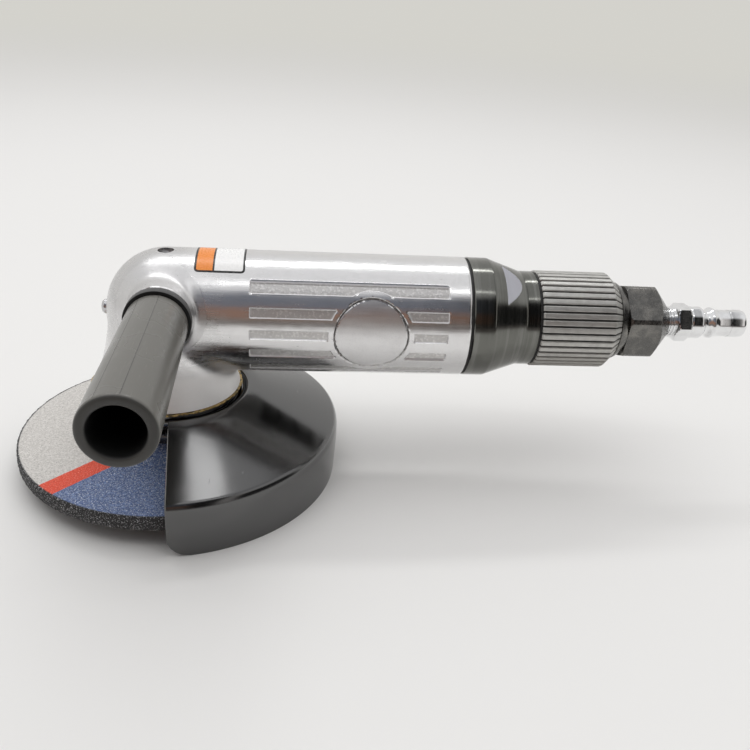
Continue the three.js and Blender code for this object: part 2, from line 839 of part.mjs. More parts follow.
function spindleGeometry() {
	const clipBottom = gearHubTop;
	const body = turned(
		[
			[0, 0],
			[spindleRadius - spindleChamfer, 0],
			[spindleRadius, spindleChamfer],
			[spindleRadius, flangeTop],
			[collarRadius, flangeTop],
			[collarRadius, bearingBottom],
			[spindleBearing.bore, bearingBottom],
			[spindleBearing.bore, bearingTop],
			[spindleRadius, bearingTop],
			[spindleRadius, clipBottom],
			[spindleRadius - circlipGroove, clipBottom],
			[spindleRadius - circlipGroove, clipBottom + circlipHeight + fit],
			[spindleRadius, clipBottom + circlipHeight + fit],
			[spindleRadius, bushBottom - running],
			[topSpindleRadius, bushBottom - running],
			[topSpindleRadius, bushBottom + bushHeight - running],
			[0, bushBottom + bushHeight - running],
		],
		coarse,
	);
	const keyway = block(
		[-keyWidth / 2 - fit, -spindleRadius - over, gearBottom],
		[keyWidth / 2 + fit, keyDepth - spindleRadius + fit, gearBottom + keyLength + fit],
	);
	const slots = spread(lockSlots, (angle) =>
		block(
			[slotDepthRadius, -slotHalfWidth, axisHeight - slotHalfHeight],
			[spindleRadius + over, slotHalfWidth, axisHeight + slotHalfHeight],
		).rotateZ(angle),
	);
	return cut(body, keyway, ...slots);
}

const keyGeometry = () =>
	block(
		[-keyWidth / 2, -spindleRadius - keyDepth, gearBottom],
		[keyWidth / 2, keyDepth - spindleRadius, gearBottom + keyLength],
	);

const circlipGeometry = () =>
	swept(
		[
			[spindleRadius - circlipGroove + running, gearHubTop],
			[spindleRadius + circlipGroove * 2, gearHubTop],
			[spindleRadius + circlipGroove * 2, gearHubTop + circlipHeight],
			[spindleRadius - circlipGroove + running, gearHubTop + circlipHeight],
		],
		circlipOpening / 2,
		360 - circlipOpening / 2,
		coarse,
	);

function wheelGeometry() {
	const bend = wheelThickness * bendShare;
	return turned(
		[
			[wheelBoreRadius, hubBottom],
			[hubRadius + bend, hubBottom],
			[hubRadius + bend + hubSlope, wheelTop - wheelThickness],
			[wheelRadius, wheelTop - wheelThickness],
			[wheelRadius, wheelTop],
			[hubRadius + hubSlope, wheelTop],
			[hubRadius, hubTop],
			[wheelBoreRadius, hubTop],
		],
		fine,
	);
}

const innerFlangeGeometry = () =>
	turned(
		[
			[spindleRadius + fit, hubTop - flangeSpigot],
			[wheelBoreRadius - fit, hubTop - flangeSpigot],
			[wheelBoreRadius - fit, hubTop],
			[flangeRadius, hubTop],
			[flangeRadius, flangeTop - over],
			[flangeRadius - over, flangeTop],
			[spindleRadius + fit, flangeTop],
		],
		middling,
	);

function lockNutGeometry() {
	const nut = ring(spindleRadius + fit, nutRadius, hubBottom - nutHeight, hubBottom, middling);
	const holes = spread(4, (angle) =>
		rod(nutHoleRadius, hubBottom - nutHeight - over, hubBottom + over, coarse / 2)
			.translate(nutHoleCircle * Math.cos(angle), nutHoleCircle * Math.sin(angle), 0),
	);
	return cut(nut, ...holes);
}

// Motor, along the barrel's own axis

function rotorGeometry() {
	const start = linerStart + rotorGap;
	const end = linerEnd - rotorGap;
	const halfSlot = vaneThickness / 2 + slotClearance;
	const body = alongX(rod(rotorRadius, start, end, middling));
	const slots = spread(vaneCount, (angle) =>
		block([start - over, -halfSlot, slotFloor], [end + over, halfSlot, rotorRadius + over])
			.rotateX(angle),
	);
	const shaft = alongX(
		turned(
			[
				[0, pinionStart],
				[rotorNoseRadius, pinionStart],
				[rotorNoseRadius, frontSeat],
				[frontBearing.bore, frontSeat],
				[frontBearing.bore, start + over],
				[rearBearing.bore, start + over],
				[rearBearing.bore, rearPlateEnd - fit],
				[0, rearPlateEnd - fit],
			],
			coarse,
		),
	);
	return join(cut(body, ...slots), shaft);
}

const vaneGeometry = () =>
	block(
		[linerStart + rotorGap + fit, -vaneThickness / 2, slotFloor + slotClearance],
		[linerEnd - rotorGap - fit, vaneThickness / 2, rotorRadius - vaneTipDrop],
	);

// The cylinder's bore lies lower than the rotor, so the crescent for the vanes is at the bottom.
function linerGeometry() {
	const body = alongX(rod(motorBoreRadius - 2 * fit, linerStart, linerEnd, fine));
	const bore = alongX(rod(linerBoreRadius, linerStart - over, linerEnd + over, fine));
	return cut(body, bore.translate(0, 0, -linerShift), ...exhaustCutters(), dowelHole());
}

const dowelPlace = (geometry) => alongX(geometry).translate(0, 0, dowelCircle);
const dowelFrom = linerStart - dowelLength / 2;
const dowelTo = linerStart + dowelLength / 2;
const dowelHole = () =>
	dowelPlace(rod(dowelRadius + fit, dowelFrom - fit, dowelTo + fit, coarse / 2));

function frontPlateGeometry() {
	const rim = motorBoreRadius - 2 * fit;
	const body = alongX(
		turned(
			[
				[frontBearing.bore + running, frontSeat + frontBearing.width],
				[frontBearing.outer - fit, frontSeat + frontBearing.width],
				[frontBearing.outer - fit, frontPlateStart],
				[rim, frontPlateStart],
				[rim, linerStart],
				[frontBearing.bore + running, linerStart],
			],
			middling,
		),
	);
	return cut(body, dowelHole());
}

function rearPlateGeometry() {
	const rim = motorBoreRadius - 2 * fit;
	const body = alongX(
		turned(
			[
				[rearBearing.bore + running, linerEnd],
				[rim, linerEnd],
				[rim, rearPlateEnd],
				[rearBearing.outer + fit, rearPlateEnd],
				[rearBearing.outer + fit, rearSeat],
				[rearBearing.bore + running, rearSeat],
			],
			middling,
		),
	);
	const ports = [-1, 0, 1].map((step) =>
		alongX(rod(portRadius, linerEnd - over, rearPlateEnd + over, coarse / 2))
			.translate(0, 0, -portCircle)
			.rotateX(step * portHalfAngle),
	);
	return cut(body, ...ports);
}

// Spindle lock, along the barrel's axis

const lockFlangeStart = lockCollarEnd + running;
const lockFlangeEnd = lockFlangeStart + lockFlangeWidth;

const lockPinGeometry = () =>
	alongX(
		turned(
			[
				[0, noseFront - lockProud],
				[lockButtonRadius * crownShare, noseFront - lockProud],
				[lockButtonRadius, noseFront - lockProud * crownShare],
				[lockButtonRadius, lockFlangeStart],
				[lockFlangeRadius, lockFlangeStart],
				[lockFlangeRadius, lockFlangeEnd],
				[lockStemRadius, lockFlangeEnd],
				[lockStemRadius, lockTip],
				[0, lockTip],
			],
			coarse,
		),
	);

// A round wire wound round the stem of the lock pin.
class Coil extends THREE.Curve {
	getPoint(share, target = new THREE.Vector3()) {
		const angle = share * lockTurns * 2 * Math.PI;
		const start = lockFlangeEnd + lockWire + fit;
		const end = lockBoreEnd - lockWire - fit;
		return target.set(
			start + (end - start) * share,
			lockSpringRadius * Math.cos(angle),
			lockSpringRadius * Math.sin(angle),
		);
	}
}

function lockSpringGeometry() {
	const section = new THREE.Shape(
		arc(lockWire, 0, 2 * Math.PI, 5).slice(1).map(([x, y]) => new THREE.Vector2(x, y)),
	);
	const steps = lockTurns * 10;
	return new THREE.ExtrudeGeometry(section, { extrudePath: new Coil(), steps, bevelEnabled: false });
}

// Rear cap and throttle, along the barrel's axis

function rearCapGeometry() {
	const spigot = motorBoreRadius - 2 * fit;
	const body = alongX(
		turned(
			[
				[capChamberRadius, rearPlateEnd],
				[spigot, rearPlateEnd],
				[spigot, barrelEnd + ringWidth],
				[barrelRadius, barrelEnd + ringWidth],
				[barrelRadius, capShoulderEnd],
				[capNoseRadius, capConeEnd],
				[capNoseRadius, capEnd],
				[tubeRadius + fit, capEnd],
				[tubeRadius + fit, capChamberEnd],
				[capChamberRadius, capChamberEnd],
			],
			fine,
		),
	);
	const flats = [0, Math.PI].map((turn) =>
		block(
			[flatStart, -barrelRadius, flatDistance],
			[capConeEnd, barrelRadius, barrelRadius + over],
		).rotateX(THREE.MathUtils.degToRad(90 - flatAngle) + turn),
	);
	return cut(body, ...flats);
}

function sleeveGeometry() {
	const pitch = (2 * Math.PI) / sleeveGrooves;
	const outline = [];
	for (let groove = 0; groove < sleeveGrooves; groove++) {
		const start = groove * pitch;
		const ridge = start + pitch * ridgeShare;
		const wall = (pitch * (1 - ridgeShare)) / 4;
		outline.push(...arc(sleeveRadius, start, ridge, 1));
		outline.push(...arc(sleeveRadius - grooveDepth, ridge + wall, start + pitch - wall, 1));
	}
	const envelope = turned(
		[
			[0, sleeveStart],
			[sleeveRadius + over, sleeveStart],
			[sleeveRadius + over, sleeveEnd - sleeveChamfer - over],
			[sleeveTipRadius, sleeveEnd],
			[0, sleeveEnd],
		],
		middling,
	);
	const body = common(prism(outline, sleeveStart - over, sleeveEnd + over), envelope);
	const bore = rod(tubeRadius + running, sleeveStart - over, sleeveEnd + over, middling);
	const pinHole = rod(pinRadius + fit, 0, sleeveRadius - grooveDepth, coarse)
		.rotateY(Math.PI / 2)
		.translate(0, 0, pinPlace);
	return alongX(cut(body, bore, pinHole));
}

const throttlePinGeometry = () =>
	rod(pinRadius, pinInner, sleeveRadius - grooveDepth - fit, coarse)
		.rotateX(Math.PI)
		.translate(pinPlace, 0, 0);

// A kidney port between two places along the axis, centred on an angle.
const kidney = (from, to, angle) =>
	swept(
		[
			[portInner, from],
			[portOuter, from],
			[portOuter, to],
			[portInner, to],
		],
		THREE.MathUtils.radToDeg(angle - portHalfAngle),
		THREE.MathUtils.radToDeg(angle + portHalfAngle),
		6,
	);

function spoolGeometry() {
	const radius = valveBoreRadius - running;
	const body = turned(
		[
			[0, spoolStart],
			[radius, spoolStart],
			[radius, sealPlace - sealWidth / 2],
			[radius - sealDepth, sealPlace - sealWidth / 2],
			[radius - sealDepth, sealPlace + sealWidth / 2],
			[radius, sealPlace + sealWidth / 2],
			[radius, spoolEnd],
			[0, spoolEnd],
		],
		middling,
	);
	const pinHole = rod(pinRadius + fit, pinInner - fit, radius + over, coarse)
		.rotateY(Math.PI / 2)
		.translate(0, 0, pinPlace);
	return alongX(cut(body, kidney(spoolStart - over, spoolEnd + over, Math.PI), pinHole));
}

const spoolSealGeometry = () =>
	alongX(
		ring(
			valveBoreRadius - running - sealDepth + fit,
			valveBoreRadius - running / 2,
			sealPlace - sealWidth / 2 + fit,
			sealPlace + sealWidth / 2 - fit,
			middling,
		),
	);

// Its port lies a third of the sleeve's circle away from the spool's port, so the air is shut off.
function portPlateGeometry() {
	const body = rod(valveBoreRadius - fit, plateStart, plateEnd, middling);
	return alongX(cut(body, kidney(plateStart - over, plateEnd + over, Math.PI + throttleTurn)));
}

function bushingGeometry() {
	const tube = turned(
		[
			[valveBoreRadius, tubeStart],
			[tubeRadius, tubeStart],
			[tubeRadius, sleeveEnd + running],
			[bushingCollarRadius, sleeveEnd + running],
			[bushingCollarTip, bushingCollarEnd],
			[bushingCollarTip, bushingConeStart],
			[bushingBoreRadius, bushingConeStart],
			[bushingBoreRadius, valveBoreEnd],
			[valveBoreRadius, valveBoreEnd],
		],
		middling,
	);
	const envelope = turned(
		[
			[0, bushingCollarEnd],
			[bushingCollarRadius, bushingCollarEnd],
			[bushingCollarRadius, bushingConeStart],
			[bushingTipRadius, bushingConeEnd],
			[0, bushingConeEnd],
		],
		middling,
	);
	const hex = hexagon(
		bushingHexAcross,
		bushingCollarEnd,
		bushingHexEnd + bushingTipRadius,
		-Math.PI / 2 - bushingHexLean,
	);
	const slotRadii = [valveBoreRadius - over, tubeRadius + over];
	const halfSlot = pinRadius + running;
	const slot = swept(
		[
			[slotRadii[0], pinPlace - halfSlot],
			[slotRadii[1], pinPlace - halfSlot],
			[slotRadii[1], pinPlace + halfSlot],
			[slotRadii[0], pinPlace + halfSlot],
		],
		slotStartAngle,
		slotEndAngle,
		8,
	);
	return alongX(
		cut(
			join(tube, common(hex, envelope)),
			rod(bushingBoreRadius, valveBoreEnd - over, bushingConeEnd + over, coarse),
			rod(threadRadius + fit, threadStart, bushingConeEnd + over, coarse),
			slot,
		),
	);
}

function nippleGeometry() {
	const body = turned(
		[
			[nippleBoreRadius, threadStart],
			[threadRadius, threadStart],
			[threadRadius, nippleHexEnd - sink],
			[plugBodyRadius, nippleHexEnd],
			[plugBodyRadius, plugBodyEnd],
			[catchRadius, catchPlace],
			[plugBulgeRadius, plugBulge],
			[plugStemRadius, plugStem],
			[plugTipRadius, inletEnd],
			[nippleBoreRadius, inletEnd],
		],
		coarse,
	);
	const hex = hexagon(nippleHexAcross, nippleHexStart, nippleHexEnd, Math.PI / 2);
	const bore = rod(nippleBoreRadius, nippleHexStart - over, nippleHexEnd + over, coarse);
	return alongX(cut(join(body, hex), bore));
}

// Side handle, along -Y

const gripGeometry = () =>
	alongHandle(
		turned(
			[
				[0, studEnd + running],
				[studRadius + fit, studEnd + running],
				[studRadius + fit, gripStart],
				[gripStartRadius, gripStart],
				[handleRadius, handleEnd - over],
				[handleRadius - over / 2, handleEnd],
				[gripBoreRadius, handleEnd],
				[gripBoreRadius, gripFloor],
				[0, gripFloor],
			],
			middling,
		),
	);

// Guard

function guardGeometry() {
	const ringBottom = guardRingTop - guardThickness;
	const slope = guardThickness * foldShare;
	const sheet = swept(
		[
			[guardRingRadius - over, ringBottom],
			[guardRingRadius + slope, ringBottom],
			[guardShoulderRadius, guardShoulderTop - guardThickness],
			[guardMidRadius - slope, guardMidTop - guardThickness],
			[guardEdgeRadius - guardThickness, guardEdgeTop - guardThickness],
			[guardEdgeRadius, guardRimTop - guardThickness],
			[guardRimRadius - guardThickness, guardRimBottom],
			[guardRimRadius, guardRimBottom],
			[guardEdgeRadius + guardThickness, guardRimTop],
			[guardEdgeRadius, guardEdgeTop],
			[guardMidRadius, guardMidTop],
			[guardShoulderRadius, guardShoulderTop],
			[guardRingRadius - slope, guardRingTop],
			[guardRingRadius - over, guardRingTop],
		],
		guardStartAngle,
		guardEndAngle,
		middling,
	);
	const collar = ring(guardRingInner, guardRingRadius, ringBottom, guardRingTop, fine);
	const corner = (turn, side) => {
		const round = arc(guardCorner, -Math.PI / 2, -Math.PI, 6);
		const outline = [
			[-over, guardRimBottom - over],
			[guardCorner, guardRimBottom - over],
			...round.map(([x, y]) => [guardCorner + x, guardRimBottom + guardCorner + y]),
			[-over, guardRimBottom + guardCorner],
		].map(([x, y]) => [x * side, y]);
		return prism(outline, guardMidRadius, guardRimRadius + over)
			.rotateX(Math.PI / 2)
			.rotateZ(Math.PI / 2 + THREE.MathUtils.degToRad(turn));
	};
	return cut(join(sheet, collar), corner(guardStartAngle, 1), corner(guardEndAngle, -1));
}

function lockRingGeometry() {
	const top = guardRingTop - guardThickness - running;
	const body = ring(capNeckRadius + fit, lockRingRadius, lockRingBottom, top, middling);
	const notches = spread(lockRingNotches, (angle) =>
		block(
			[lockRingRadius - over, -lockRingNotch / 2, lockRingBottom - over],
			[lockRingRadius + over, lockRingNotch / 2, top + over],
		).rotateZ(angle),
	);
	return cut(body, ...notches);
}

function plugGeometry() {
	const top = axisHeight + barrelRadius - plugRecess;
	const socket = hexagon(2 * plugSocketRadius, top - plugSocketDepth, top + over);
	const bottom = bushBottom + bushHeight + plugGap;
	return cut(rod(plugRadius, bottom, top, coarse), socket);
}

// The assembly

const grinder = new THREE.Group();

// Adds a named mesh to a group.
function piece(group, name, geometry, finish) {
	const mesh = new THREE.Mesh(skin(geometry), finishes[finish]);
	mesh.name = name;
	group.add(mesh);
	return mesh;
}

function buildHead(group) {
	piece(group, 'motor_housing', housingGeometry(), 'castAluminium');
	piece(group, 'head_gasket', gasketGeometry(), 'gasketGold');
	piece(group, 'bearing_cap', bearingCapGeometry(), 'toolSteel');
	spread(
		screwCount,
		(angle, index) => {
			const screw = piece(
				group,
				`cap_screw_${index + 1}`,
				turned(screwOutline(0), coarse / 2),
				'blackSteel',
			);
			screw.position.set(screwCircle * Math.cos(angle), screwCircle * Math.sin(angle), 0);
		},
		Math.PI / 4,
	);
	const lowerRace = outerRace(spindleBearing, bearingBottom, middling);
	piece(group, 'spindle_bearing_outer', lowerRace, 'groundSteel');
	piece(group, 'spindle_ball_cage', ballCage(spindleBearing, bearingBottom), 'groundSteel');
	piece(group, 'spindle_bearing_inner', innerRace(spindleBearing, bearingBottom, coarse), 'groundSteel');
	piece(
		group,
		'dust_seal',
		ring(collarRadius + running, sealRadius, capBottom, bearingBottom, middling),
		'sealRubber',
	);
	piece(
		group,
		'upper_spindle_bush',
		ring(topSpindleRadius + running, bushRadius, bushBottom, bushBottom + bushHeight, coarse),
		'bronze',
	);
	piece(group, 'grease_plug', plugGeometry(), 'toolSteel');
}

function buildSpindle(group) {
	piece(group, 'spindle', spindleGeometry(), 'toolSteel');
	piece(group, 'bevel_gear', bevelGearGeometry(), 'toolSteel').position.z = axisHeight;
	piece(group, 'gear_key', keyGeometry(), 'groundSteel');
	piece(group, 'gear_circlip', circlipGeometry(), 'blackSteel');
	piece(
		group,
		'gear_spacer',
		ring(spindleRadius + fit, spindleBearing.bore + spacerWall, bearingTop, gearBottom, coarse),
		'toolSteel',
	);
	piece(group, 'inner_flange', innerFlangeGeometry(), 'blackSteel');
	piece(group, 'grinding_wheel', wheelGeometry(), 'abrasive');
	piece(group, 'lock_nut', lockNutGeometry(), 'blackSteel');
}

function buildMotor(group) {
	const races = [
		['front', frontBearing, frontSeat],
		['rear', rearBearing, rearSeat],
	];
	for (const [side, bearing, from] of races) {
		piece(group, `${side}_bearing_outer`, alongX(outerRace(bearing, from, middling)), 'groundSteel');
		piece(group, `${side}_ball_cage`, alongX(ballCage(bearing, from)), 'groundSteel');
		piece(group, `${side}_bearing_inner`, alongX(innerRace(bearing, from, coarse)), 'groundSteel');
	}
	piece(group, 'front_end_plate', frontPlateGeometry(), 'groundSteel');
	piece(group, 'cylinder_liner', linerGeometry(), 'toolSteel');
	const dowel = dowelPlace(rod(dowelRadius, dowelFrom, dowelTo, coarse / 2));
	piece(group, 'liner_dowel', dowel, 'groundSteel');
	piece(group, 'rear_end_plate', rearPlateGeometry(), 'groundSteel');
	piece(group, 'rotor', rotorGeometry(), 'toolSteel');
	spread(vaneCount, (angle, index) => {
		piece(group, `vane_${index + 1}`, vaneGeometry(), 'vaneResin').rotation.x = angle;
	});
	piece(group, 'bevel_pinion', pinionGeometry(), 'toolSteel');
}

function buildLock(group) {
	piece(group, 'lock_pin', lockPinGeometry(), 'groundSteel');
	piece(group, 'lock_spring', lockSpringGeometry(), 'groundSteel');
	const collar = ring(
		lockButtonRadius + running,
		lockCollarRadius,
		lockCollarStart,
		lockCollarEnd,
		coarse,
	);
	piece(group, 'lock_collar', alongX(collar), 'groundSteel');
}

function buildInlet(group) {
	const blackRing = (inner, outer, from) => alongX(ring(inner, outer, from, from + ringWidth, fine));
	piece(group, 'cap_ring', blackRing(motorBoreRadius, ringRadius, barrelEnd), 'sealRubber');
	piece(group, 'rear_cap', rearCapGeometry(), 'gunmetal');
	piece(group, 'neck_ring', blackRing(tubeRadius + running, neckRingRadius, capEnd), 'sealRubber');
	piece(group, 'throttle_sleeve', sleeveGeometry(), 'gripSteel');
	piece(group, 'throttle_pin', throttlePinGeometry(), 'groundSteel');
	piece(group, 'throttle_spool', spoolGeometry(), 'bronze');
	piece(group, 'spool_seal', spoolSealGeometry(), 'sealRubber');
	piece(group, 'port_plate', portPlateGeometry(), 'groundSteel');
	piece(group, 'inlet_bushing', bushingGeometry(), 'blackSteel');
	piece(group, 'hose_nipple', nippleGeometry(), 'plating');
}

function buildHandle(group) {
	const washer = ring(studRadius + fit, washerRadius, bossEnd, gripStart, middling);
	piece(group, 'handle_washer', alongHandle(washer), 'handlePlastic');
	const stud = rod(studRadius, studStart + running, studEnd, coarse);
	piece(group, 'handle_stud', alongHandle(stud), 'groundSteel');
	piece(group, 'handle_grip', gripGeometry(), 'handlePlastic');
}

function buildGuard(group) {
	piece(group, 'guard', guardGeometry(), 'guardPaint');
	piece(group, 'guard_lock_ring', lockRingGeometry(), 'toolSteel');
}

const builders = [
	[buildHead, 0],
	[buildSpindle, 0],
	[buildGuard, 0],
	[buildMotor, axisHeight],
	[buildLock, axisHeight],
	[buildInlet, axisHeight],
	[buildHandle, handleHeight],
];
for (const [build, height] of builders) {
	const group = new THREE.Group();
	group.position.z = height;
	build(group);
	grinder.add(group);
}

export default grinder;
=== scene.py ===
import json
import math

import bmesh
import bpy
import numpy as np
from mathutils import Matrix, Vector


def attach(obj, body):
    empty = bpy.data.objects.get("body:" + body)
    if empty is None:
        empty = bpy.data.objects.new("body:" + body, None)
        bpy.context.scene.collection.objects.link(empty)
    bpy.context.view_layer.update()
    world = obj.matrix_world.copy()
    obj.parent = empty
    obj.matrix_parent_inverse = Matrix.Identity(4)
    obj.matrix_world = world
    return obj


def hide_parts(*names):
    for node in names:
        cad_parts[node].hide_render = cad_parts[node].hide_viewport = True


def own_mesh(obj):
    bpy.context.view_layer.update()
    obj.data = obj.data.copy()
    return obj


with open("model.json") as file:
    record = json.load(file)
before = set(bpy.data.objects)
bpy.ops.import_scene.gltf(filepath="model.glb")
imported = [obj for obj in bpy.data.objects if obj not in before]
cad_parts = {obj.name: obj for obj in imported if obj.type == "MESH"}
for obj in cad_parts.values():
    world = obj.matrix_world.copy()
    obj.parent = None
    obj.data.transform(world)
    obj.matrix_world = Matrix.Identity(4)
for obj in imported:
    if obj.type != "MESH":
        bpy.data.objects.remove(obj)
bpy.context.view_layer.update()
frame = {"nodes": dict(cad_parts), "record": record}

# Lengths in the settings are millimetres; +Z is the spindle, +X the barrel, -Y the side handle.
mm = 0.001
turn = 2 * math.pi
chance = np.random.default_rng(11)


# Shader maths


class Wire:
    # One output of a node. Sums and products of wires add the Math nodes that they need.
    def __init__(self, finish, socket):
        self.finish = finish
        self.socket = socket

    def __add__(self, other):
        return self.finish.maths("ADD", self, other)

    def __sub__(self, other):
        return self.finish.maths("SUBTRACT", self, other)

    def __rsub__(self, other):
        return self.finish.maths("SUBTRACT", other, self)

    def __mul__(self, other):
        return self.finish.maths("MULTIPLY", self, other)

    def __abs__(self):
        return self.finish.maths("ABSOLUTE", self)

    __radd__ = __add__
    __rmul__ = __mul__


class Finish:
    # A material, or the world, and the nodes that its recipe adds.
    def __init__(self, owner):
        self.owner = owner
        owner.use_nodes = True
        self.tree = owner.node_tree
        self.tree.nodes.clear()

    def add(self, kind, settings, inputs=(), out=0):
        node = self.tree.nodes.new(kind)
        for name, value in settings.items():
            setattr(node, name, value)
        pairs = inputs.items() if isinstance(inputs, dict) else enumerate(inputs)
        for key, value in pairs:
            socket = node.inputs[key]
            if isinstance(value, Wire):
                self.tree.links.new(value.socket, socket)
            elif socket.type == "RGBA":
                socket.default_value = (*value, 1)
            else:
                socket.default_value = value
        return Wire(self, node.outputs[out]) if node.outputs else None

    def maths(self, operation, *values):
        return self.add("ShaderNodeMath", {"operation": operation}, values)

    def spot(self, scale=(1, 1, 1)):
        place = self.add("ShaderNodeTexCoord", {}, out="Object")
        return self.add("ShaderNodeMapping", {}, {"Vector": place, "Scale": scale})

    def axes(self):
        split = self.add("ShaderNodeSeparateXYZ", {}, [self.spot((1 / mm,) * 3)])
        return [Wire(self, socket) for socket in split.socket.node.outputs]

    def noise(self, place, scale, detail=2.0, rough=0.5):
        inputs = {"Vector": place, "Scale": scale, "Detail": detail, "Roughness": rough}
        return self.add("ShaderNodeTexNoise", {}, inputs)

    def cells(self, place, scale, feature="F1"):
        return self.add("ShaderNodeTexVoronoi", {"feature": feature}, {"Vector": place, "Scale": scale})

    def step(self, value, low, high, start=0.0, end=1.0):
        settings = {"interpolation_type": "SMOOTHSTEP"}
        return self.add("ShaderNodeMapRange", settings, [value, low, high, start, end])

    def mix(self, share, first, second):
        return self.add("ShaderNodeMix", {"data_type": "RGBA"}, {0: share, 6: first, 7: second}, out=2)

    def mark(self, name):
        return self.add("ShaderNodeAttribute", {"attribute_name": name}, out="Fac")

    def bump(self, height, depth, strength=1.0):
        inputs = {"Strength": strength, "Distance": depth * mm, "Height": height}
        return self.add("ShaderNodeBump", {}, inputs)

    def surface(self, **sockets):
        named = {name.replace("_", " ").title().replace("Ior", "IOR"): v for name, v in sockets.items()}
        shader = self.add("ShaderNodeBsdfPrincipled", {}, named)
        self.add("ShaderNodeOutputMaterial", {}, {"Surface": shader})
        return self.owner


def newFinish(name):
    return Finish(bpy.data.materials.new(name))


# Finishes

# Of these tones the darkest is painted shade, for under the barrel, the nose and the boss; the rim tone is a
# painted highlight on the pocket walls; the line tone is painted shade in the pad's groove.
castLook = {
    "polished": (0.79, 0.785, 0.785), "floor": (0.66, 0.65, 0.64), "dull": (0.50, 0.49, 0.49),
    "rim": (0.86, 0.86, 0.87), "line": (0.16, 0.16, 0.16), "paintedShade": (0.035, 0.034, 0.033),
    "pebble": (0.92, 0.91, 0.90), "bare": (0.93, 0.92, 0.91), "gloss": 0.18, "matt": 0.44, "relief": 0.12,
}


def castAluminium():
    # Polished casting: pebbled in its pockets, satin where it is less polished, with painted shade under the
    # barrel and on the nose.
    f, look = newFinish("castAluminium"), castLook
    cast, satin, paintedShade, line = (f.mark(name) for name in ("pressed", "satin", "paintedShade", "line"))
    wave = f.noise(f.spot(), 55.0, 2.0)
    cloud = f.noise(f.spot(), 210.0, 4.0, 0.6)
    streak = f.noise(f.spot((70, 1100, 1100)), 1.0, 3.0, 0.6)
    pits = f.noise(f.spot(), 1900.0, 2.0, 0.7)
    pebbles = f.noise(f.spot(), 900.0, 2.0)
    dull = f.step(cloud, 0.42, 0.72, 0.0, 0.10) + f.step(pits, 0.52, 0.66, 0.0, 0.14)
    # Painted highlight: the pocket walls take a pale, less metallic tone.
    rim = f.step(cast * (1 - cast), 0.06, 0.2) * (1 - line)
    bare = f.step(satin, 0.75, 0.95)
    tone = f.mix(dull, f.mix(cast, look["polished"], look["floor"]), look["dull"])
    tone = f.mix(rim, tone, look["rim"])
    # Painted shade in the pad's groove.
    tone = f.mix(line * cast * 0.75, tone, look["line"])
    # Painted shade: near black and less metallic under the barrel, faint on the nose and on the boss.
    tone = f.mix(paintedShade, tone, look["paintedShade"])
    tone = f.mix(cast * f.step(pebbles, 0.52, 0.62, 0.0, 0.5), tone, look["pebble"])
    tone = f.mix(bare * 0.7, tone, look["bare"])
    matt = f.maths("MAXIMUM", cast, satin)
    rough = f.step(streak, 0.3, 0.75, look["gloss"] - 0.03, look["gloss"] + 0.07)
    rough = rough + f.step(cloud, 0.4, 0.7, 0.0, 0.05) + matt * (look["matt"] - look["gloss"])
    metal = 1 - rim * 0.55 - cast * 0.12 - f.step(paintedShade, 0.4, 1.0, 0.0, 0.5) - bare * 0.4
    height = wave * 2.2 + cloud * 0.07 + pits * 0.055 + streak * 0.10 + cast * pebbles * 1.4
    bump = f.bump(height, look["relief"])
    return f.surface(base_color=tone, metallic=metal, roughness=rough, normal=bump)


turnedLook = {"rings": 2600.0, "round": 25.0, "shade": 0.78, "relief": 0.006}


def turnedMetal(name, colour, gloss, along=0):
    # Turned or ground metal: fine rings about the axis that lies along the given coordinate.
    f, look = newFinish(name), turnedLook
    scale = [look["round"]] * 3
    scale[along] = look["rings"]
    ring = f.noise(f.spot(scale), 1.0, 3.0, 0.6)
    cloud = f.noise(f.spot(), 140.0, 3.0)
    shade = tuple(look["shade"] * part for part in colour)
    tone = f.mix(f.step(cloud, 0.35, 0.75, 0.0, 0.5), colour, shade)
    rough = f.step(ring, 0.3, 0.7, gloss - 0.04, gloss + 0.06) + f.step(cloud, 0.4, 0.7, 0.0, 0.05)
    bump = f.bump(ring, look["relief"])
    return f.surface(base_color=tone, metallic=1.0, roughness=rough, normal=bump)


capLook = {
    "metal": (0.168, 0.169, 0.155), "cloud": (0.118, 0.119, 0.109), "ring": (0.25, 0.25, 0.235),
    "milled": (0.40, 0.40, 0.43), "gloss": (0.10, 0.20), "relief": 0.05,
}


def capMetal():
    # Turned cap, with coarse milling marks where the spanner flats are.
    f, look = newFinish("capMetal"), capLook
    flat = f.mark("flat")
    ring = f.noise(f.spot((2300, 14, 14)), 1.0, 3.0, 0.6)
    band = f.noise(f.spot((330, 9, 9)), 1.0, 3.0, 0.7)
    grain = f.noise(f.spot((500, 500, 500)), 4.0, 2.0, 0.7)
    cloud = f.noise(f.spot(), 120.0, 3.0)
    tone = f.mix(f.step(cloud, 0.35, 0.75, 0.0, 0.5), look["metal"], look["cloud"])
    tone = f.mix(f.step(band, 0.46, 0.62, 0.0, 0.5), tone, look["ring"])
    tone = f.mix(flat, tone, look["milled"])
    rough = f.step(ring, 0.3, 0.7, *look["gloss"]) + flat * 0.3
    bump = f.bump(ring * (1 - flat) * 0.12 + flat * grain, look["relief"])
    return f.surface(base_color=tone, metallic=1.0, roughness=rough, normal=bump)


# The under and groove tones are painted shade.
gripLook = {
    "metal": (0.56, 0.555, 0.53), "cloud": (0.43, 0.425, 0.405), "under": (0.13, 0.118, 0.098),
    "underTo": (42.0, 58.0), "groove": (0.03, 0.03, 0.03), "gloss": (0.36, 0.50), "relief": 0.012,
}


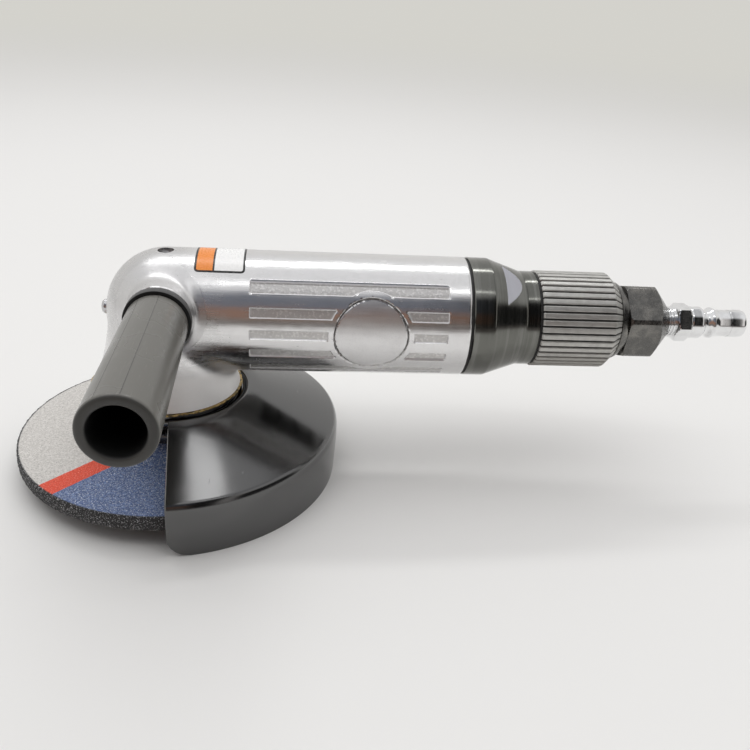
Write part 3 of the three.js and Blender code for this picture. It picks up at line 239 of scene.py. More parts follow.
def gripMetal():
    # Satin sleeve, with painted shade dark in its grooves and dim and warm on its lower half.
    f, look = newFinish("gripMetal"), gripLook
    groove = f.mark("groove")
    grain = f.noise(f.spot((300, 2200, 2200)), 1.0, 2.0, 0.7)
    cloud = f.noise(f.spot(), 260.0, 3.0, 0.6)
    height = f.axes()[2]
    tone = f.mix(f.step(cloud, 0.35, 0.75, 0.0, 0.7), look["metal"], look["cloud"])
    # Painted shade: darker and warmer below the given height.
    tone = f.mix(f.step(height, *look["underTo"], 0.82, 0.0), tone, look["under"])
    # Painted shade in the grooves.
    tone = f.mix(f.step(groove, 0.35, 0.9, 0.0, 0.88), tone, look["groove"])
    rough = f.step(grain, 0.3, 0.7, *look["gloss"]) + groove * 0.2
    bump = f.bump(grain, look["relief"])
    return f.surface(base_color=tone, metallic=0.85, roughness=rough, normal=bump)


steelLook = {
    "black": (0.135, 0.133, 0.128), "worn": (0.27, 0.26, 0.24), "gloss": (0.20, 0.33), "relief": 0.012,
}


def blackenedSteel():
    # Dark steel, paler in clouds where it is worn.
    f, look = newFinish("blackenedSteel"), steelLook
    cloud = f.noise(f.spot(), 160.0, 4.0, 0.6)
    grain = f.noise(f.spot((900, 300, 900)), 1.0, 2.0, 0.6)
    tone = f.mix(f.step(cloud, 0.42, 0.75, 0.0, 0.8), look["black"], look["worn"])
    rough = f.step(grain, 0.3, 0.7, *look["gloss"])
    bump = f.bump(grain + cloud * 0.5, look["relief"])
    return f.surface(base_color=tone, metallic=0.95, roughness=rough, normal=bump)


platingLook = {
    "bright": (0.86, 0.865, 0.87), "cloud": (0.66, 0.66, 0.66), "gloss": (0.05, 0.12), "relief": 0.003,
}


def plating():
    # Bright plating over faint turning rings.
    f, look = newFinish("plating"), platingLook
    cloud = f.noise(f.spot(), 300.0, 3.0)
    ring = f.noise(f.spot((3000, 20, 20)), 1.0, 2.0)
    tone = f.mix(f.step(cloud, 0.4, 0.75, 0.0, 0.4), look["bright"], look["cloud"])
    rough = f.step(cloud, 0.3, 0.7, *look["gloss"])
    return f.surface(base_color=tone, metallic=1.0, roughness=rough, normal=f.bump(ring, look["relief"]))


# The seam and hollow tones are painted shade.
plasticLook = {
    "handlePlastic": {"colour": (0.128, 0.124, 0.111), "gloss": 0.27, "shine": 0.62},
    "washerPlastic": {"colour": (0.05, 0.05, 0.05), "gloss": 0.4, "shine": 0.6},
    "scuff": 1.5, "seam": (0.02, 0.02, 0.02), "hollow": (0.003, 0.003, 0.003), "relief": 0.012,
}


def handlePlastic(name):
    # Black plastic with fine scuffs, and painted shade along the mould seam and in the hollow.
    f, look = newFinish(name), plasticLook
    colour, gloss, shine = look[name].values()
    seam, hollow = f.mark("seam"), f.mark("hollow")
    orange = f.noise(f.spot(), 900.0, 2.0)
    cloud = f.noise(f.spot(), 45.0, 3.0)
    scuff = f.noise(f.spot((1500, 120, 1500)), 1.0, 3.0, 0.65)
    pale = tuple(look["scuff"] * part for part in colour)
    tone = f.mix(f.step(scuff, 0.55, 0.8, 0.0, 0.6), colour, pale)
    # Painted shade along the mould seam.
    tone = f.mix(f.step(seam, 0.3, 0.8, 0.0, 0.65), tone, look["seam"])
    # Painted shade in the hollow: the bore, the end ring and the washer's face towards the grip.
    tone = f.mix(hollow, tone, look["hollow"])
    rough = f.step(cloud, 0.3, 0.7, gloss - 0.04, gloss + 0.05) + hollow * 0.35
    bump = f.bump(orange * 0.8 + scuff * 0.3, look["relief"])
    return f.surface(base_color=tone, roughness=rough, specular_ior_level=shine, normal=bump)


paintLook = {
    "black": (0.005, 0.005, 0.005), "dust": (0.45, 0.44, 0.42), "gloss": (0.12, 0.18), "shine": 1.0,
    "ior": 1.68, "relief": 0.04,
}


def guardPaint():
    # Gloss black lacquer with dust, faint ripples and a few scratches.
    f, look = newFinish("guardPaint"), paintLook
    ripple = f.noise(f.spot(), 60.0, 2.0)
    dust = f.cells(f.spot(), 420.0)
    dusty = f.noise(f.spot(), 30.0, 2.0)
    scratch = f.noise(f.spot((1800, 60, 300)), 1.0, 2.0, 0.7)
    speck = f.step(dust, 0.03, 0.08, 1.0, 0.0) * f.step(dusty, 0.56, 0.66)
    lines = f.step(scratch, 0.70, 0.78)
    tone = f.mix(speck * 0.35 + lines * 0.12, look["black"], look["dust"])
    rough = f.step(dusty, 0.3, 0.7, *look["gloss"]) + lines * 0.15
    bump = f.bump(ripple + lines * 0.1, look["relief"])
    shine, ior = look["shine"], look["ior"]
    return f.surface(base_color=tone, roughness=rough, specular_ior_level=shine, ior=ior, normal=bump)


gritLook = {
    "grit": (0.030, 0.030, 0.031), "grain": (0.26, 0.26, 0.26), "speck": (0.50, 0.50, 0.51),
    "pale": ((0.55, 0.53, 0.50), (0.70, 0.68, 0.65)), "paleHollow": (0.20, 0.19, 0.18),
    "orange": ((0.74, 0.085, 0.045), (0.86, 0.36, 0.28)), "orangeHollow": (0.30, 0.07, 0.05),
    "blue": ((0.075, 0.12, 0.27), (0.20, 0.28, 0.47)), "blueGrain": (0.05, 0.07, 0.14),
    "blueWorn": (0.78, 0.81, 0.86), "rough": 0.82, "relief": 0.22,
}
printLook = {
    "side": (0.7236, -0.6902), "band": (-3.0, 5.5), "blur": 0.1, "edge": (61.3, 61.9), "face": (6.15, 6.4),
    "wobble": 0.7,
}


def wheelGrit():
    # Black grit with grey grains; the upper face has a pale field, an orange-red band and a blue field.
    f, look = newFinish("wheelGrit"), gritLook
    x, y, z = f.axes()
    grain = f.cells(f.spot(), 1250.0)
    grains = f.cells(f.spot(), 620.0)
    weave = f.noise(f.spot(), 900.0, 3.0, 0.7)
    specks = f.noise(f.spot(), 1700.0, 2.0, 0.8)
    across = x * printLook["side"][0] + y * printLook["side"][1]
    reach = f.maths("SQRT", x * x + y * y)
    wobble = (weave - 0.5) * printLook["wobble"]
    red, blue = (
        f.step(across + wobble, place - printLook["blur"], place + printLook["blur"])
        for place in printLook["band"]
    )
    black = f.mix(f.step(grain, 0.14, 0.26, 1.0, 0.0), look["grit"], look["grain"])
    black = f.mix(f.step(specks, 0.58, 0.64), black, look["speck"])
    worn = f.step(specks, 0.55, 0.66)
    hollow = f.step(specks, 0.36, 0.46, 1.0, 0.0)
    patch = f.step(weave, 0.35, 0.65)
    pale = f.mix(hollow * 0.6, f.mix(patch, *look["pale"]), look["paleHollow"])
    orange = f.mix(hollow * 0.5, f.mix(worn * 0.7, *look["orange"]), look["orangeHollow"])
    sky = f.mix(f.step(grains, 0.25, 0.5, 0.0, 0.40), f.mix(patch, *look["blue"]), look["blueGrain"])
    sky = f.mix(worn * 0.8, sky, look["blueWorn"])
    printed = f.mix(blue, f.mix(red, pale, orange), sky)
    onFace = f.step(z + wobble * 0.3, *printLook["face"])
    onFace = onFace * f.step(reach + wobble, *printLook["edge"], 1.0, 0.0)
    tone = f.mix(onFace, black, printed)
    height = f.step(grain, 0.1, 0.5, 1.0, 0.0) * (1 - onFace * 0.85) + weave * 0.5
    return f.surface(base_color=tone, roughness=look["rough"], normal=f.bump(height, look["relief"], 0.9))


# The palest tone is for painted glints.
gasketLook = {
    "brass": (0.66, 0.47, 0.19), "stain": (0.10, 0.08, 0.05), "paintedGlint": (0.95, 0.88, 0.66), "rough": 0.38,
    "relief": 0.35,
}


def gasketFoil():
    # Thin brass-coloured sheet with a torn edge, and pale spots painted in as glints.
    f, look = newFinish("gasketFoil"), gasketLook
    paintedGlint = f.cells(f.spot(), 1900.0)
    cloud = f.noise(f.spot(), 500.0, 2.0)
    tone = f.mix(f.step(cloud, 0.48, 0.64, 0.0, 0.85), look["brass"], look["stain"])
    # Painted glints: pale spots in the colour.
    tone = f.mix(f.step(paintedGlint, 0.14, 0.28, 0.9, 0.0), tone, look["paintedGlint"])
    bump = f.bump(paintedGlint + cloud, look["relief"])
    return f.surface(base_color=tone, metallic=0.8, roughness=look["rough"], normal=bump)


def plainFinish(name, spot, scale, edges, first, second, rough):
    # Two tones that change with one noise, for rubber and for the vanes' layered resin.
    f = newFinish(name)
    grain = f.noise(f.spot(spot), scale, 2.0)
    tone = f.mix(f.step(grain, *edges), first, second)
    return f.surface(base_color=tone, roughness=rough, normal=f.bump(grain, 0.01))


def mouldedRubber():
    return plainFinish("mouldedRubber", (1, 1, 1), 1400.0, (0.4, 0.7), (0.012,) * 3, (0.03,) * 3, 0.6)


def vaneResin():
    layers = (200, 2500, 2500)
    return plainFinish("vaneResin", layers, 1.0, (0.4, 0.6), (0.23, 0.12, 0.05), (0.14, 0.07, 0.03), 0.55)


labelLook = {
    "from": 11.7, "to": 30.6, "low": 57.3, "high": 107.0, "corner": 1.6, "proud": 0.13, "root": 0.1,
    "split": 0.38, "line": 0.8, "orange": (0.87, 0.27, 0.035), "white": (0.88, 0.88, 0.87),
    "black": (0.012, 0.012, 0.012), "gloss": (0.24, 0.32), "relief": 0.004,
}


def labelFoil():
    # Blank two-tone foil: an orange field, a white field and a thin black line round both.
    f, look = newFinish("labelFoil"), labelLook
    along, edge = f.mark("along"), f.mark("edge")
    fibre = f.noise(f.spot(), 1500.0, 2.0)
    split, line = look["split"], look["line"]
    tone = f.mix(f.step(along, split - 0.004, split + 0.004), look["orange"], look["white"])
    middle = f.step(abs(along - split), 0.014, 0.022, 1.0, 0.0)
    border = f.step(edge, line - 0.06, line + 0.06, 1.0, 0.0)
    tone = f.mix(f.maths("MAXIMUM", middle, border), tone, look["black"])
    rough = f.step(fibre, 0.3, 0.7, *look["gloss"])
    return f.surface(base_color=tone, roughness=rough, normal=f.bump(fibre, look["relief"]))


finishes = {
    "cast_aluminium": castAluminium(),
    "gunmetal": capMetal(),
    "grip_metal": gripMetal(),
    "black_steel": blackenedSteel(),
    "plating": plating(),
    "ground_steel": turnedMetal("groundSteel", (0.62, 0.62, 0.63), 0.22),
    "plate_alloy": turnedMetal("plateAlloy", (0.70, 0.70, 0.71), 0.30),
    "tool_steel": turnedMetal("toolSteel", (0.36, 0.36, 0.37), 0.30, along=2),
    "bronze": turnedMetal("bearingBronze", (0.62, 0.40, 0.19), 0.30),
    "handle_plastic": handlePlastic("handlePlastic"),
    "seal_rubber": mouldedRubber(),
    "vane_resin": vaneResin(),
    "guard_paint": guardPaint(),
    "abrasive": wheelGrit(),
    "gasket_gold": gasketFoil(),
}
print("finishes", len(finishes))


# Shapes


def smooth(low, high, value):
    # Rises smoothly from 0 at low to 1 at high.
    share = np.clip((value - low) / (high - low), 0, 1)
    return share * share * (3 - 2 * share)


# The three axes that a piece can lie on: u and v go across it, and the last number along it


def upSpindle(u, v, along):
    return np.stack(np.broadcast_arrays(u, v, along), -1)


def alongBarrel(u, v, along):
    return np.stack(np.broadcast_arrays(along, v, u + housing["axis"]), -1)


def alongHandle(u, v, along):
    return np.stack(np.broadcast_arrays(v, -along, u + handle["height"]), -1)


def soften(outline, radii, steps=4):
    # Each corner gives way to a quadratic curve that starts and ends at its radius from the corner.
    points = np.array(outline, float)
    back = np.roll(points, 1, 0) - points
    ahead = np.roll(points, -1, 0) - points
    backward = np.linalg.norm(back, axis=1) + 1e-9
    forward = np.linalg.norm(ahead, axis=1) + 1e-9
    reach = np.minimum(radii, 0.45 * np.minimum(backward, forward)) * (points[:, 0] > 0)
    start = points + back * (reach / backward)[:, None]
    end = points + ahead * (reach / forward)[:, None]
    share = np.linspace(0, 1, steps + 1)[None, :, None]
    curve = (1 - share) ** 2 * start[:, None] + 2 * share * (1 - share) * points[:, None]
    return (curve + share**2 * end[:, None]).reshape(-1, 2)


def turned(outline, place, sides=144, radii=0.3, steps=3):
    # An outline of [radius, height] points carried round its axis.
    profile = soften(outline, radii, steps)
    angle = np.linspace(0, turn, sides, endpoint=False)
    radius = profile[:, :1]
    return place(radius * np.cos(angle), radius * np.sin(angle), profile[:, 1:])


def stacked(rows, place, sides):
    # Rows of (radius, height) where a radius may change round the axis.
    angle = np.linspace(0, turn, sides, endpoint=False)
    radius = np.stack([row[0] + 0 * angle for row in rows])
    height = np.array([row[1] for row in rows])[:, None]
    return place(radius * np.cos(angle), radius * np.sin(angle), height)


def hexagon(across, angle, corner=0.0):
    # Distance from the axis to a hexagon's side, for each angle; corner is the angle of one corner.
    off = np.mod(angle - corner, turn / 6) - turn / 12
    return across / 2 / np.cos(off)


def quads(rows, columns, loop, start):
    # Quads of a grid whose columns close on themselves, and whose rows do where loop is set.
    row = np.arange(rows if loop else rows - 1)[:, None]
    column = np.arange(columns)[None]
    below = (row + 1) % rows
    beside = (column + 1) % columns
    this, following = row * columns, below * columns
    corners = [this + column, this + beside, following + beside, following + column]
    return start + np.stack(corners, -1).reshape(-1, 4)


def seal(mesh):
    # Merges what coincides, drops faces without area and turns the faces outwards.
    work = bmesh.new()
    work.from_mesh(mesh)
    bmesh.ops.remove_doubles(work, verts=work.verts, dist=1e-6)
    bmesh.ops.dissolve_degenerate(work, edges=work.edges, dist=1e-7)
    bmesh.ops.recalc_face_normals(work, faces=work.faces)
    work.to_mesh(mesh)
    work.free()


def meshOf(name, grids, marks=None):
    # One mesh from grids in millimetres; each mark holds one value for every point.
    points, faces, start = [], [], 0
    for grid, loop in grids:
        rows, columns = grid.shape[:2]
        faces.append(quads(rows, columns, loop, start))
        points.append(grid.reshape(-1, 3))
        start += rows * columns
    points = np.concatenate(points).astype(np.float32) * np.float32(mm)
    faces = np.concatenate(faces).astype(np.int32)
    mesh = bpy.data.meshes.new(name)
    mesh.vertices.add(len(points))
    mesh.vertices.foreach_set("co", points.ravel())
    mesh.loops.add(faces.size)
    mesh.loops.foreach_set("vertex_index", faces.ravel())
    mesh.polygons.add(len(faces))
    mesh.polygons.foreach_set("loop_start", np.arange(len(faces), dtype=np.int32) * 4)
    mesh.update(calc_edges=True)
    for mark, values in (marks or {}).items():
        attribute = mesh.attributes.new(mark, "FLOAT", "POINT")
        attribute.data.foreach_set("value", values.astype(np.float32).ravel())
    seal(mesh)
    return mesh


def addPiece(name, mesh, slot, body, nodes=(), sharp=32, finish=None):
    # An object at the origin that moves with its body and takes the place of its CAD nodes.
    mesh.polygons.foreach_set("use_smooth", np.ones(len(mesh.polygons), bool))
    mesh.set_sharp_from_angle(angle=math.radians(sharp))
    mesh.materials.clear()
    mesh.materials.append(finish or finishes[slot])
    piece = bpy.data.objects.new(name, mesh)
    bpy.context.scene.collection.objects.link(piece)
    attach(piece, body)
    if nodes:
        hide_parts(*nodes)
    return piece


def makePiece(name, grids, slot, body, nodes=(), marks=None, sharp=32, finish=None):
    return addPiece(name, meshOf(name, grids, marks), slot, body, nodes, sharp, finish)


def pierced(mesh, cutters):
    # Takes the cutters' volume out of a mesh.
    base = bpy.data.objects.new("base", mesh)
    tool = bpy.data.objects.new("tool", meshOf("tool", cutters))
    for item in (base, tool):
        bpy.context.scene.collection.objects.link(item)
    modifier = base.modifiers.new("cut", "BOOLEAN")
    modifier.operation = "DIFFERENCE"
    modifier.solver = "EXACT"
    modifier.object = tool
    graph = bpy.context.evaluated_depsgraph_get()
    result = bpy.data.meshes.new_from_object(base.evaluated_get(graph))
    for item in (base, tool):
        bpy.data.objects.remove(item)
    seal(result)
    return result


# Motor housing

housing = {
    "axis": 62.0, "radius": 24.0, "noseShare": 0.975, "rear": 117.2,
    "foot": 29.9, "footRadius": 29.5, "footShift": 1.8, "slack": 0.3,
    "pivot": 33.0, "crease": 1.2, "fillet": 8.0,
    "bossRadius": 12.4, "bossHeight": 68.3, "bossEnd": 25.8, "bossBlend": 4.0,
    "bossRim": 0.6, "bore": 20.6, "boreDepth": 104.0, "footBore": 19.1, "footDepth": 50.0,
    "plugHole": (3.05, 82.9), "lockHole": (4.0, -22.4), "over": 2.0,
}
pocket = {
    "start": 32.5, "end": 108.4, "pitch": 8.25, "half": 1.95, "rows": 5, "corner": 0.5,
    "pad": 78.7, "clear": 16.4, "groove": (13.7, 14.6), "depth": 0.7, "wall": 0.42, "snap": 0.21,
    "band": 19.4, "padBand": 20.0, "padRim": 0.4,
}
vent = {
    "start": 54.0, "pitch": 9.0, "count": 4, "width": 3.0, "length": 14.0, "corner": 1.0, "depth": 3.3,
    "wall": 0.5, "snap": 0.3, "below": 20.0, "from": 45.0,
}
sections = {
    "lean": (0.7, 1.5, 84.0, 84.6, 90.0), "leanRows": (76, 12),
    "side": (38.0, 142.0), "sideSteps": (2.6, 1.0),
    "fine": 0.42, "fineEnd": 110.2, "coarse": (111.0, 117.0, 1.0), "last": 116.85,
    "under": 36.5, "bulge": 3.0, "far": 200.0, "limit": 66.0, "inset": 0.012, "rearRim": 0.3,
}
# head, neck and pad set satin; under, underFrom, underTo and nose place painted shade under the barrel and on
# the nose.
polish = {
    "head": (0.34, -30, -12), "neck": (0.95, (10, 22), (-60, -40)), "pad": 0.7,
    "nose": (0.17, (-14, -2), (-14, -6)), "under": (21.3, 22.6), "underFrom": (20, 34), "underTo": (-86, -70),
}
bossSkin = {
    "centre": -6.0, "far": 40.0, "lean": (0.5, 2.0), "runOut": 5.0, "columns": 144, "rows": 56,
    "evenShare": 0.75, "sink": (4.4, 5.0, 0.004), "dip": (2.0, 4.4, 0.03), "dipTo": 30.0,
    "satin": 0.45, "paintedShade": 0.12,
}


def smoothLeast(a, b, width):
    # The lesser of two distances, with a cubic blend where they differ by less than width.
    near = np.maximum(width - np.abs(a - b), 0) / width
    return np.minimum(a, b) - near**3 * width / 6


def bodyDistance(x, y, z):
    # A barrel with a rounded nose, joined softly to a neck that widens as the square of its depth.
    h = z - housing["axis"]
    front = np.minimum(x, 0) / housing["noseShare"]
    barrel = np.sqrt(front**2 + y * y + h * h) - housing["radius"]
    depth = np.clip(-h / (housing["axis"] - housing["foot"]), 0, 1.3)
    narrow = housing["radius"] * housing["noseShare"] - housing["slack"]
    wide = narrow + (housing["footRadius"] - narrow) * (0.9 * depth**2 + 0.1 * depth**6)
    shift = housing["footShift"] * depth**1.25
    neck = np.sqrt((x + shift) ** 2 + y * y + np.maximum(h, 0) ** 2) - wide
    width = housing["crease"] + (housing["fillet"] - housing["crease"]) * smooth(2, 20, x)
    return smoothLeast(barrel, neck, width)


def bossDistance(x, y, z):
    # A round boss on the handle's axis, with a rounded rim.
    side = np.hypot(x, z - housing["bossHeight"]) - housing["bossRadius"]
    return -smoothLeast(-side, housing["bossEnd"] + y, housing["bossRim"])


def headDistance(x, y, z):
    # Housing and boss, blended.
    return smoothLeast(bodyDistance(x, y, z), bossDistance(x, y, z), housing["bossBlend"])


def castRays(distance, start, way, limit, steps=34):
    # Halves the span between start and limit until it closes on the surface.
    near, far = np.zeros_like(limit), limit.copy()
    for _ in range(steps):
        middle = (near + far) / 2
        place = start + way * middle[..., None]
        outside = distance(place[..., 0], place[..., 1], place[..., 2]) > 0
        far = np.where(outside, middle, far)
        near = np.where(outside, near, middle)
    return start + way * ((near + far) / 2)[..., None]


def pocketDistance(u, v):
    # Rows of bars, kept clear of the round pad, and the thin groove round the pad.
    row = np.clip(np.round(v / pocket["pitch"]), -(pocket["rows"] // 2), pocket["rows"] // 2)
    middle = (pocket["start"] + pocket["end"]) / 2
    du = np.abs(u - middle) - (pocket["end"] - pocket["start"]) / 2 + pocket["corner"]
    dv = np.abs(v - row * pocket["pitch"]) - pocket["half"] + pocket["corner"]
    bar = np.hypot(np.maximum(du, 0), np.maximum(dv, 0)) + np.minimum(np.maximum(du, dv), 0)
    reach = np.hypot(u - pocket["pad"], v)
    bar = np.maximum(bar - pocket["corner"], pocket["clear"] - reach)
    inner, outer = pocket["groove"]
    ring = np.abs(reach - (inner + outer) / 2) - (outer - inner) / 2
    return np.minimum(bar, ring)


def ventDistance(u, v):
    # A row of slots across the barrel, with round corners.
    slot = np.clip(np.round((u - vent["start"]) / vent["pitch"]), 0, vent["count"] - 1)
    du = np.abs(u - vent["start"] - slot * vent["pitch"]) - vent["width"] / 2 + vent["corner"]
    dv = np.abs(v) - vent["length"] / 2 + vent["corner"]
    return np.hypot(np.maximum(du, 0), np.maximum(dv, 0)) + np.minimum(np.maximum(du, dv), 0) - vent["corner"]


def press(u, v, distance, wall, reach):
    # Draws nearby grid points onto the outline and its foot, and gives how far inside each point is.
    tiny = 1e-3
    for level in (0, -wall):
        off = distance(u, v) - level
        slopeU = (distance(u + tiny, v) - distance(u - tiny, v)) / (2 * tiny)
        slopeV = (distance(u, v + tiny) - distance(u, v - tiny)) / (2 * tiny)
        near = np.abs(off) < reach
        u = u - np.where(near, off * slopeU, 0)
        v = v - np.where(near, off * slopeV, 0)
    return u, v, np.clip(-distance(u, v) / wall, 0, 1)


def castSections():
    # Sections of the head turn about a line under the barrel, and those of the barrel stand upright.
    # In each section rays leave the middle at every angle and stop on the surface.
    s = sections
    first, low, high, nextLow, last = s["lean"]
    leanRows, topRows = s["leanRows"]
    fan = [[first], np.linspace(low, high, leanRows), np.linspace(nextLow, last, topRows)]
    fan = np.radians(np.concatenate(fan))
    fine = np.arange(housing["pivot"] + s["fine"], s["fineEnd"], s["fine"])
    straight = np.concatenate([fine, np.arange(*s["coarse"]), [s["last"]]])
    axis, foot = housing["axis"], housing["foot"]
    outX = np.concatenate([-np.cos(fan), 0 * straight])
    outZ = np.concatenate([np.sin(fan), 0 * straight + 1])
    reach = s["under"] * np.cos(fan) ** 2 + (axis - foot) * np.sin(fan) ** 2
    reach = reach + s["bulge"] * np.sin(2 * fan) ** 2
    startX = np.concatenate([housing["pivot"] - reach * np.cos(fan), straight])
    startZ = np.concatenate([foot + reach * np.sin(fan), 0 * straight + axis])
    (start, end), (wide, close) = s["side"], s["sideSteps"]
    side = [np.arange(0, start, wide), np.arange(start, end, close), np.arange(end, 180, wide)]
    side = np.radians(np.concatenate(side))
    angle = np.concatenate([side, side + math.pi])
    middle = np.stack([startX, 0 * startX, startZ], -1)[:, None]
    way = np.stack([
        outX[:, None] * np.cos(angle),
        -np.sin(angle) + 0 * outX[:, None],
        outZ[:, None] * np.cos(angle),
    ], -1)
    toPivot = np.concatenate([reach, 0 * straight + s["far"]])[:, None] / np.maximum(-np.cos(angle), 1e-3)
    return castRays(bodyDistance, middle + 0 * way, way, np.minimum(0.995 * toPivot, s["limit"])), angle


def pressPockets(x, y, h):
    # Side pockets: seen along Y on the barrel's cylinder, pressed in towards its axis.
    radius = housing["radius"]
    zone = (x > pocket["start"] - 1) & (np.abs(h) < pocket["band"])
    u, v, inside = press(x, h, pocketDistance, pocket["wall"], pocket["snap"])
    u, v = np.where(zone, u, x), np.where(zone, v, h)
    pressed = np.where(zone, inside, 0)
    y = np.where(zone, np.sign(y) * np.sqrt(np.maximum(radius**2 - v * v, 0)), y)
    sunk = 1 - pressed * pocket["depth"] / radius
    return u, y * sunk, v * sunk, pressed, zone


def castMarks(x, h, pressed, zone):
    # Shares of satin, of painted shade under the barrel and on the nose, and of the pad's groove line for its
    # painted shade, each rising smoothly between two places.
    inner, outer = pocket["groove"]
    fromPad = np.hypot(x - pocket["pad"], h)
    pad = smooth(0, pocket["padRim"], inner - fromPad) * (np.abs(h) < pocket["padBand"])
    head, neck, nose = polish["head"], polish["neck"], polish["nose"]
    satin = np.maximum(head[0] * smooth(*head[1:], -x), neck[0] * smooth(*neck[1], -h) * smooth(*neck[2], -x))
    satin = np.maximum(satin, polish["pad"] * pad)
    # Painted shade under the barrel, and faintly on the nose.
    paintedShade = smooth(*polish["under"], -h) * smooth(*polish["underFrom"], x) * smooth(*polish["underTo"], -x)
    paintedShade = np.maximum(paintedShade, nose[0] * smooth(*nose[1], -x) * smooth(*nose[2], h))
    # The groove line carries painted shade into the pad's groove.
    line = np.abs(fromPad - (inner + outer) / 2) < outer - inner
    line = line * zone * (np.abs(h) < pocket["padBand"])
    return {"pressed": pressed, "satin": satin, "paintedShade": paintedShade, "line": line}


def housingGrid():
    # The outer skin with its pockets and slots, closed through the bores at both ends.
    outer, angle = castSections()
    radius, axis, foot = housing["radius"], housing["axis"], housing["foot"]
    x, y, z = (outer[..., k].copy() for k in range(3))
    x, y, h, pressed, zone = pressPockets(x, y, z - axis)
    skinMarks = castMarks(x, h, pressed, zone)
    # Exhaust slots under the barrel
    zone = (h < -vent["below"]) & (x > vent["from"])
    u, v, inside = press(x, y, ventDistance, vent["wall"], vent["snap"])
    x, y = np.where(zone, u, x), np.where(zone, v, y)
    h = h + np.where(zone, inside, 0) * vent["depth"]
    # Under the boss the surface sinks out of the boss's way
    width, start, depth = bossSkin["dip"]
    dip = smooth(0, width, start - bossDistance(x, y, h + axis)) * (x < bossSkin["dipTo"]) * (y < 0)
    middle = np.array([0, 0, housing["bossHeight"] - axis])
    x, y, h = (value + (goal - value) * depth * dip for value, goal in zip((x, y, h), middle))
    outer = np.stack([x, y, h + axis], -1)

    def loopAt(size, height):
        return np.stack([-size * np.cos(angle), -size * np.sin(angle), 0 * angle + height], -1)[None]

    def rearAt(size, place):
        return np.stack([0 * angle + place, -size * np.sin(angle), axis + size * np.cos(angle)], -1)[None]

    rim = outer[:1] * [1, 1, 0] + [0, 0, foot]
    inset = rim + (np.array([-housing["footShift"], 0, foot]) - rim) * sections["inset"]
    front = [loopAt(0, housing["footDepth"]), loopAt(housing["footBore"], housing["footDepth"])]
    front += [loopAt(housing["footBore"], foot), inset]
    rear = [rearAt(radius - sections["rearRim"], housing["rear"]), rearAt(housing["bore"], housing["rear"])]
    rear += [rearAt(housing["bore"], housing["boreDepth"]), rearAt(0, housing["boreDepth"])]
    grid = np.concatenate(front + [outer] + rear)
    marks = {}
    for name, values in skinMarks.items():
        marks[name] = np.zeros(grid.shape[:2])
        marks[name][len(front):len(front) + len(outer)] = values
    return grid, marks


def bossGrid():
    # Rays from a point inside the head, out to where the boss has run out into it.
    b = bossSkin
    around = np.linspace(0, turn, b["columns"], endpoint=False)
    centre = np.array([0.0, b["centre"], housing["bossHeight"]])

    def hit(lean):
        way = np.stack([
            np.sin(lean) * np.cos(around),
            -np.cos(lean),
            np.sin(lean) * np.sin(around),
        ], -1)
        return castRays(headDistance, centre + 0 * way, way, np.full(lean.shape, b["far"]), 26)

    low, high = (0 * around + lean for lean in b["lean"])
    for _ in range(22):
        middle = (low + high) / 2
        place = hit(middle)
        beyond = bossDistance(place[:, 0], place[:, 1], place[:, 2]) > b["runOut"]
        high = np.where(beyond, middle, high)
        low = np.where(beyond, low, middle)
    share = np.linspace(0, 1, b["rows"])[:, None]
    lean = high * (b["evenShare"] * share + (1 - b["evenShare"]) * share**2)
    grid = np.stack([hit(row) for row in lean])
    start, end, depth = b["sink"]
    sink = depth * smooth(start, end, bossDistance(grid[..., 0], grid[..., 1], grid[..., 2]))[..., None]
    grid = grid + (centre - grid) * sink
    grid = np.concatenate([grid, 0 * grid[:1] + centre])
    # The boss takes a fixed share of painted shade over all of it.
    return grid, {name: b[name] + 0 * grid[..., 0] for name in ("satin", "paintedShade")}


def roundHoles():
    # Rods that open the plug's seat on top of the head and the lock's hole in its front.
    (plugHole, seat), (lockHole, floor) = housing["plugHole"], housing["lockHole"]
    high = housing["axis"] + housing["radius"] + housing["over"]
    low = -housing["radius"] - housing["over"]
    down = turned([(0, seat), (plugHole, seat), (plugHole + 0.05, high), (0, high)], upSpindle, 60, 0)
    front = turned([(0, low), (lockHole, low), (lockHole, floor), (0, floor)], alongBarrel, 60, 0)
    return [(down, True), (front, True)]


grid, marks = housingGrid()
mesh = pierced(meshOf("motorHousing", [(grid, False)], marks), roundHoles())
addPiece("motorHousing", mesh, "cast_aluminium", "tool", ["motor_housing"], sharp=50)
grid, marks = bossGrid()
makePiece("handleBoss", [(grid, False)], "cast_aluminium", "tool", marks=marks, sharp=50)
print("housing")


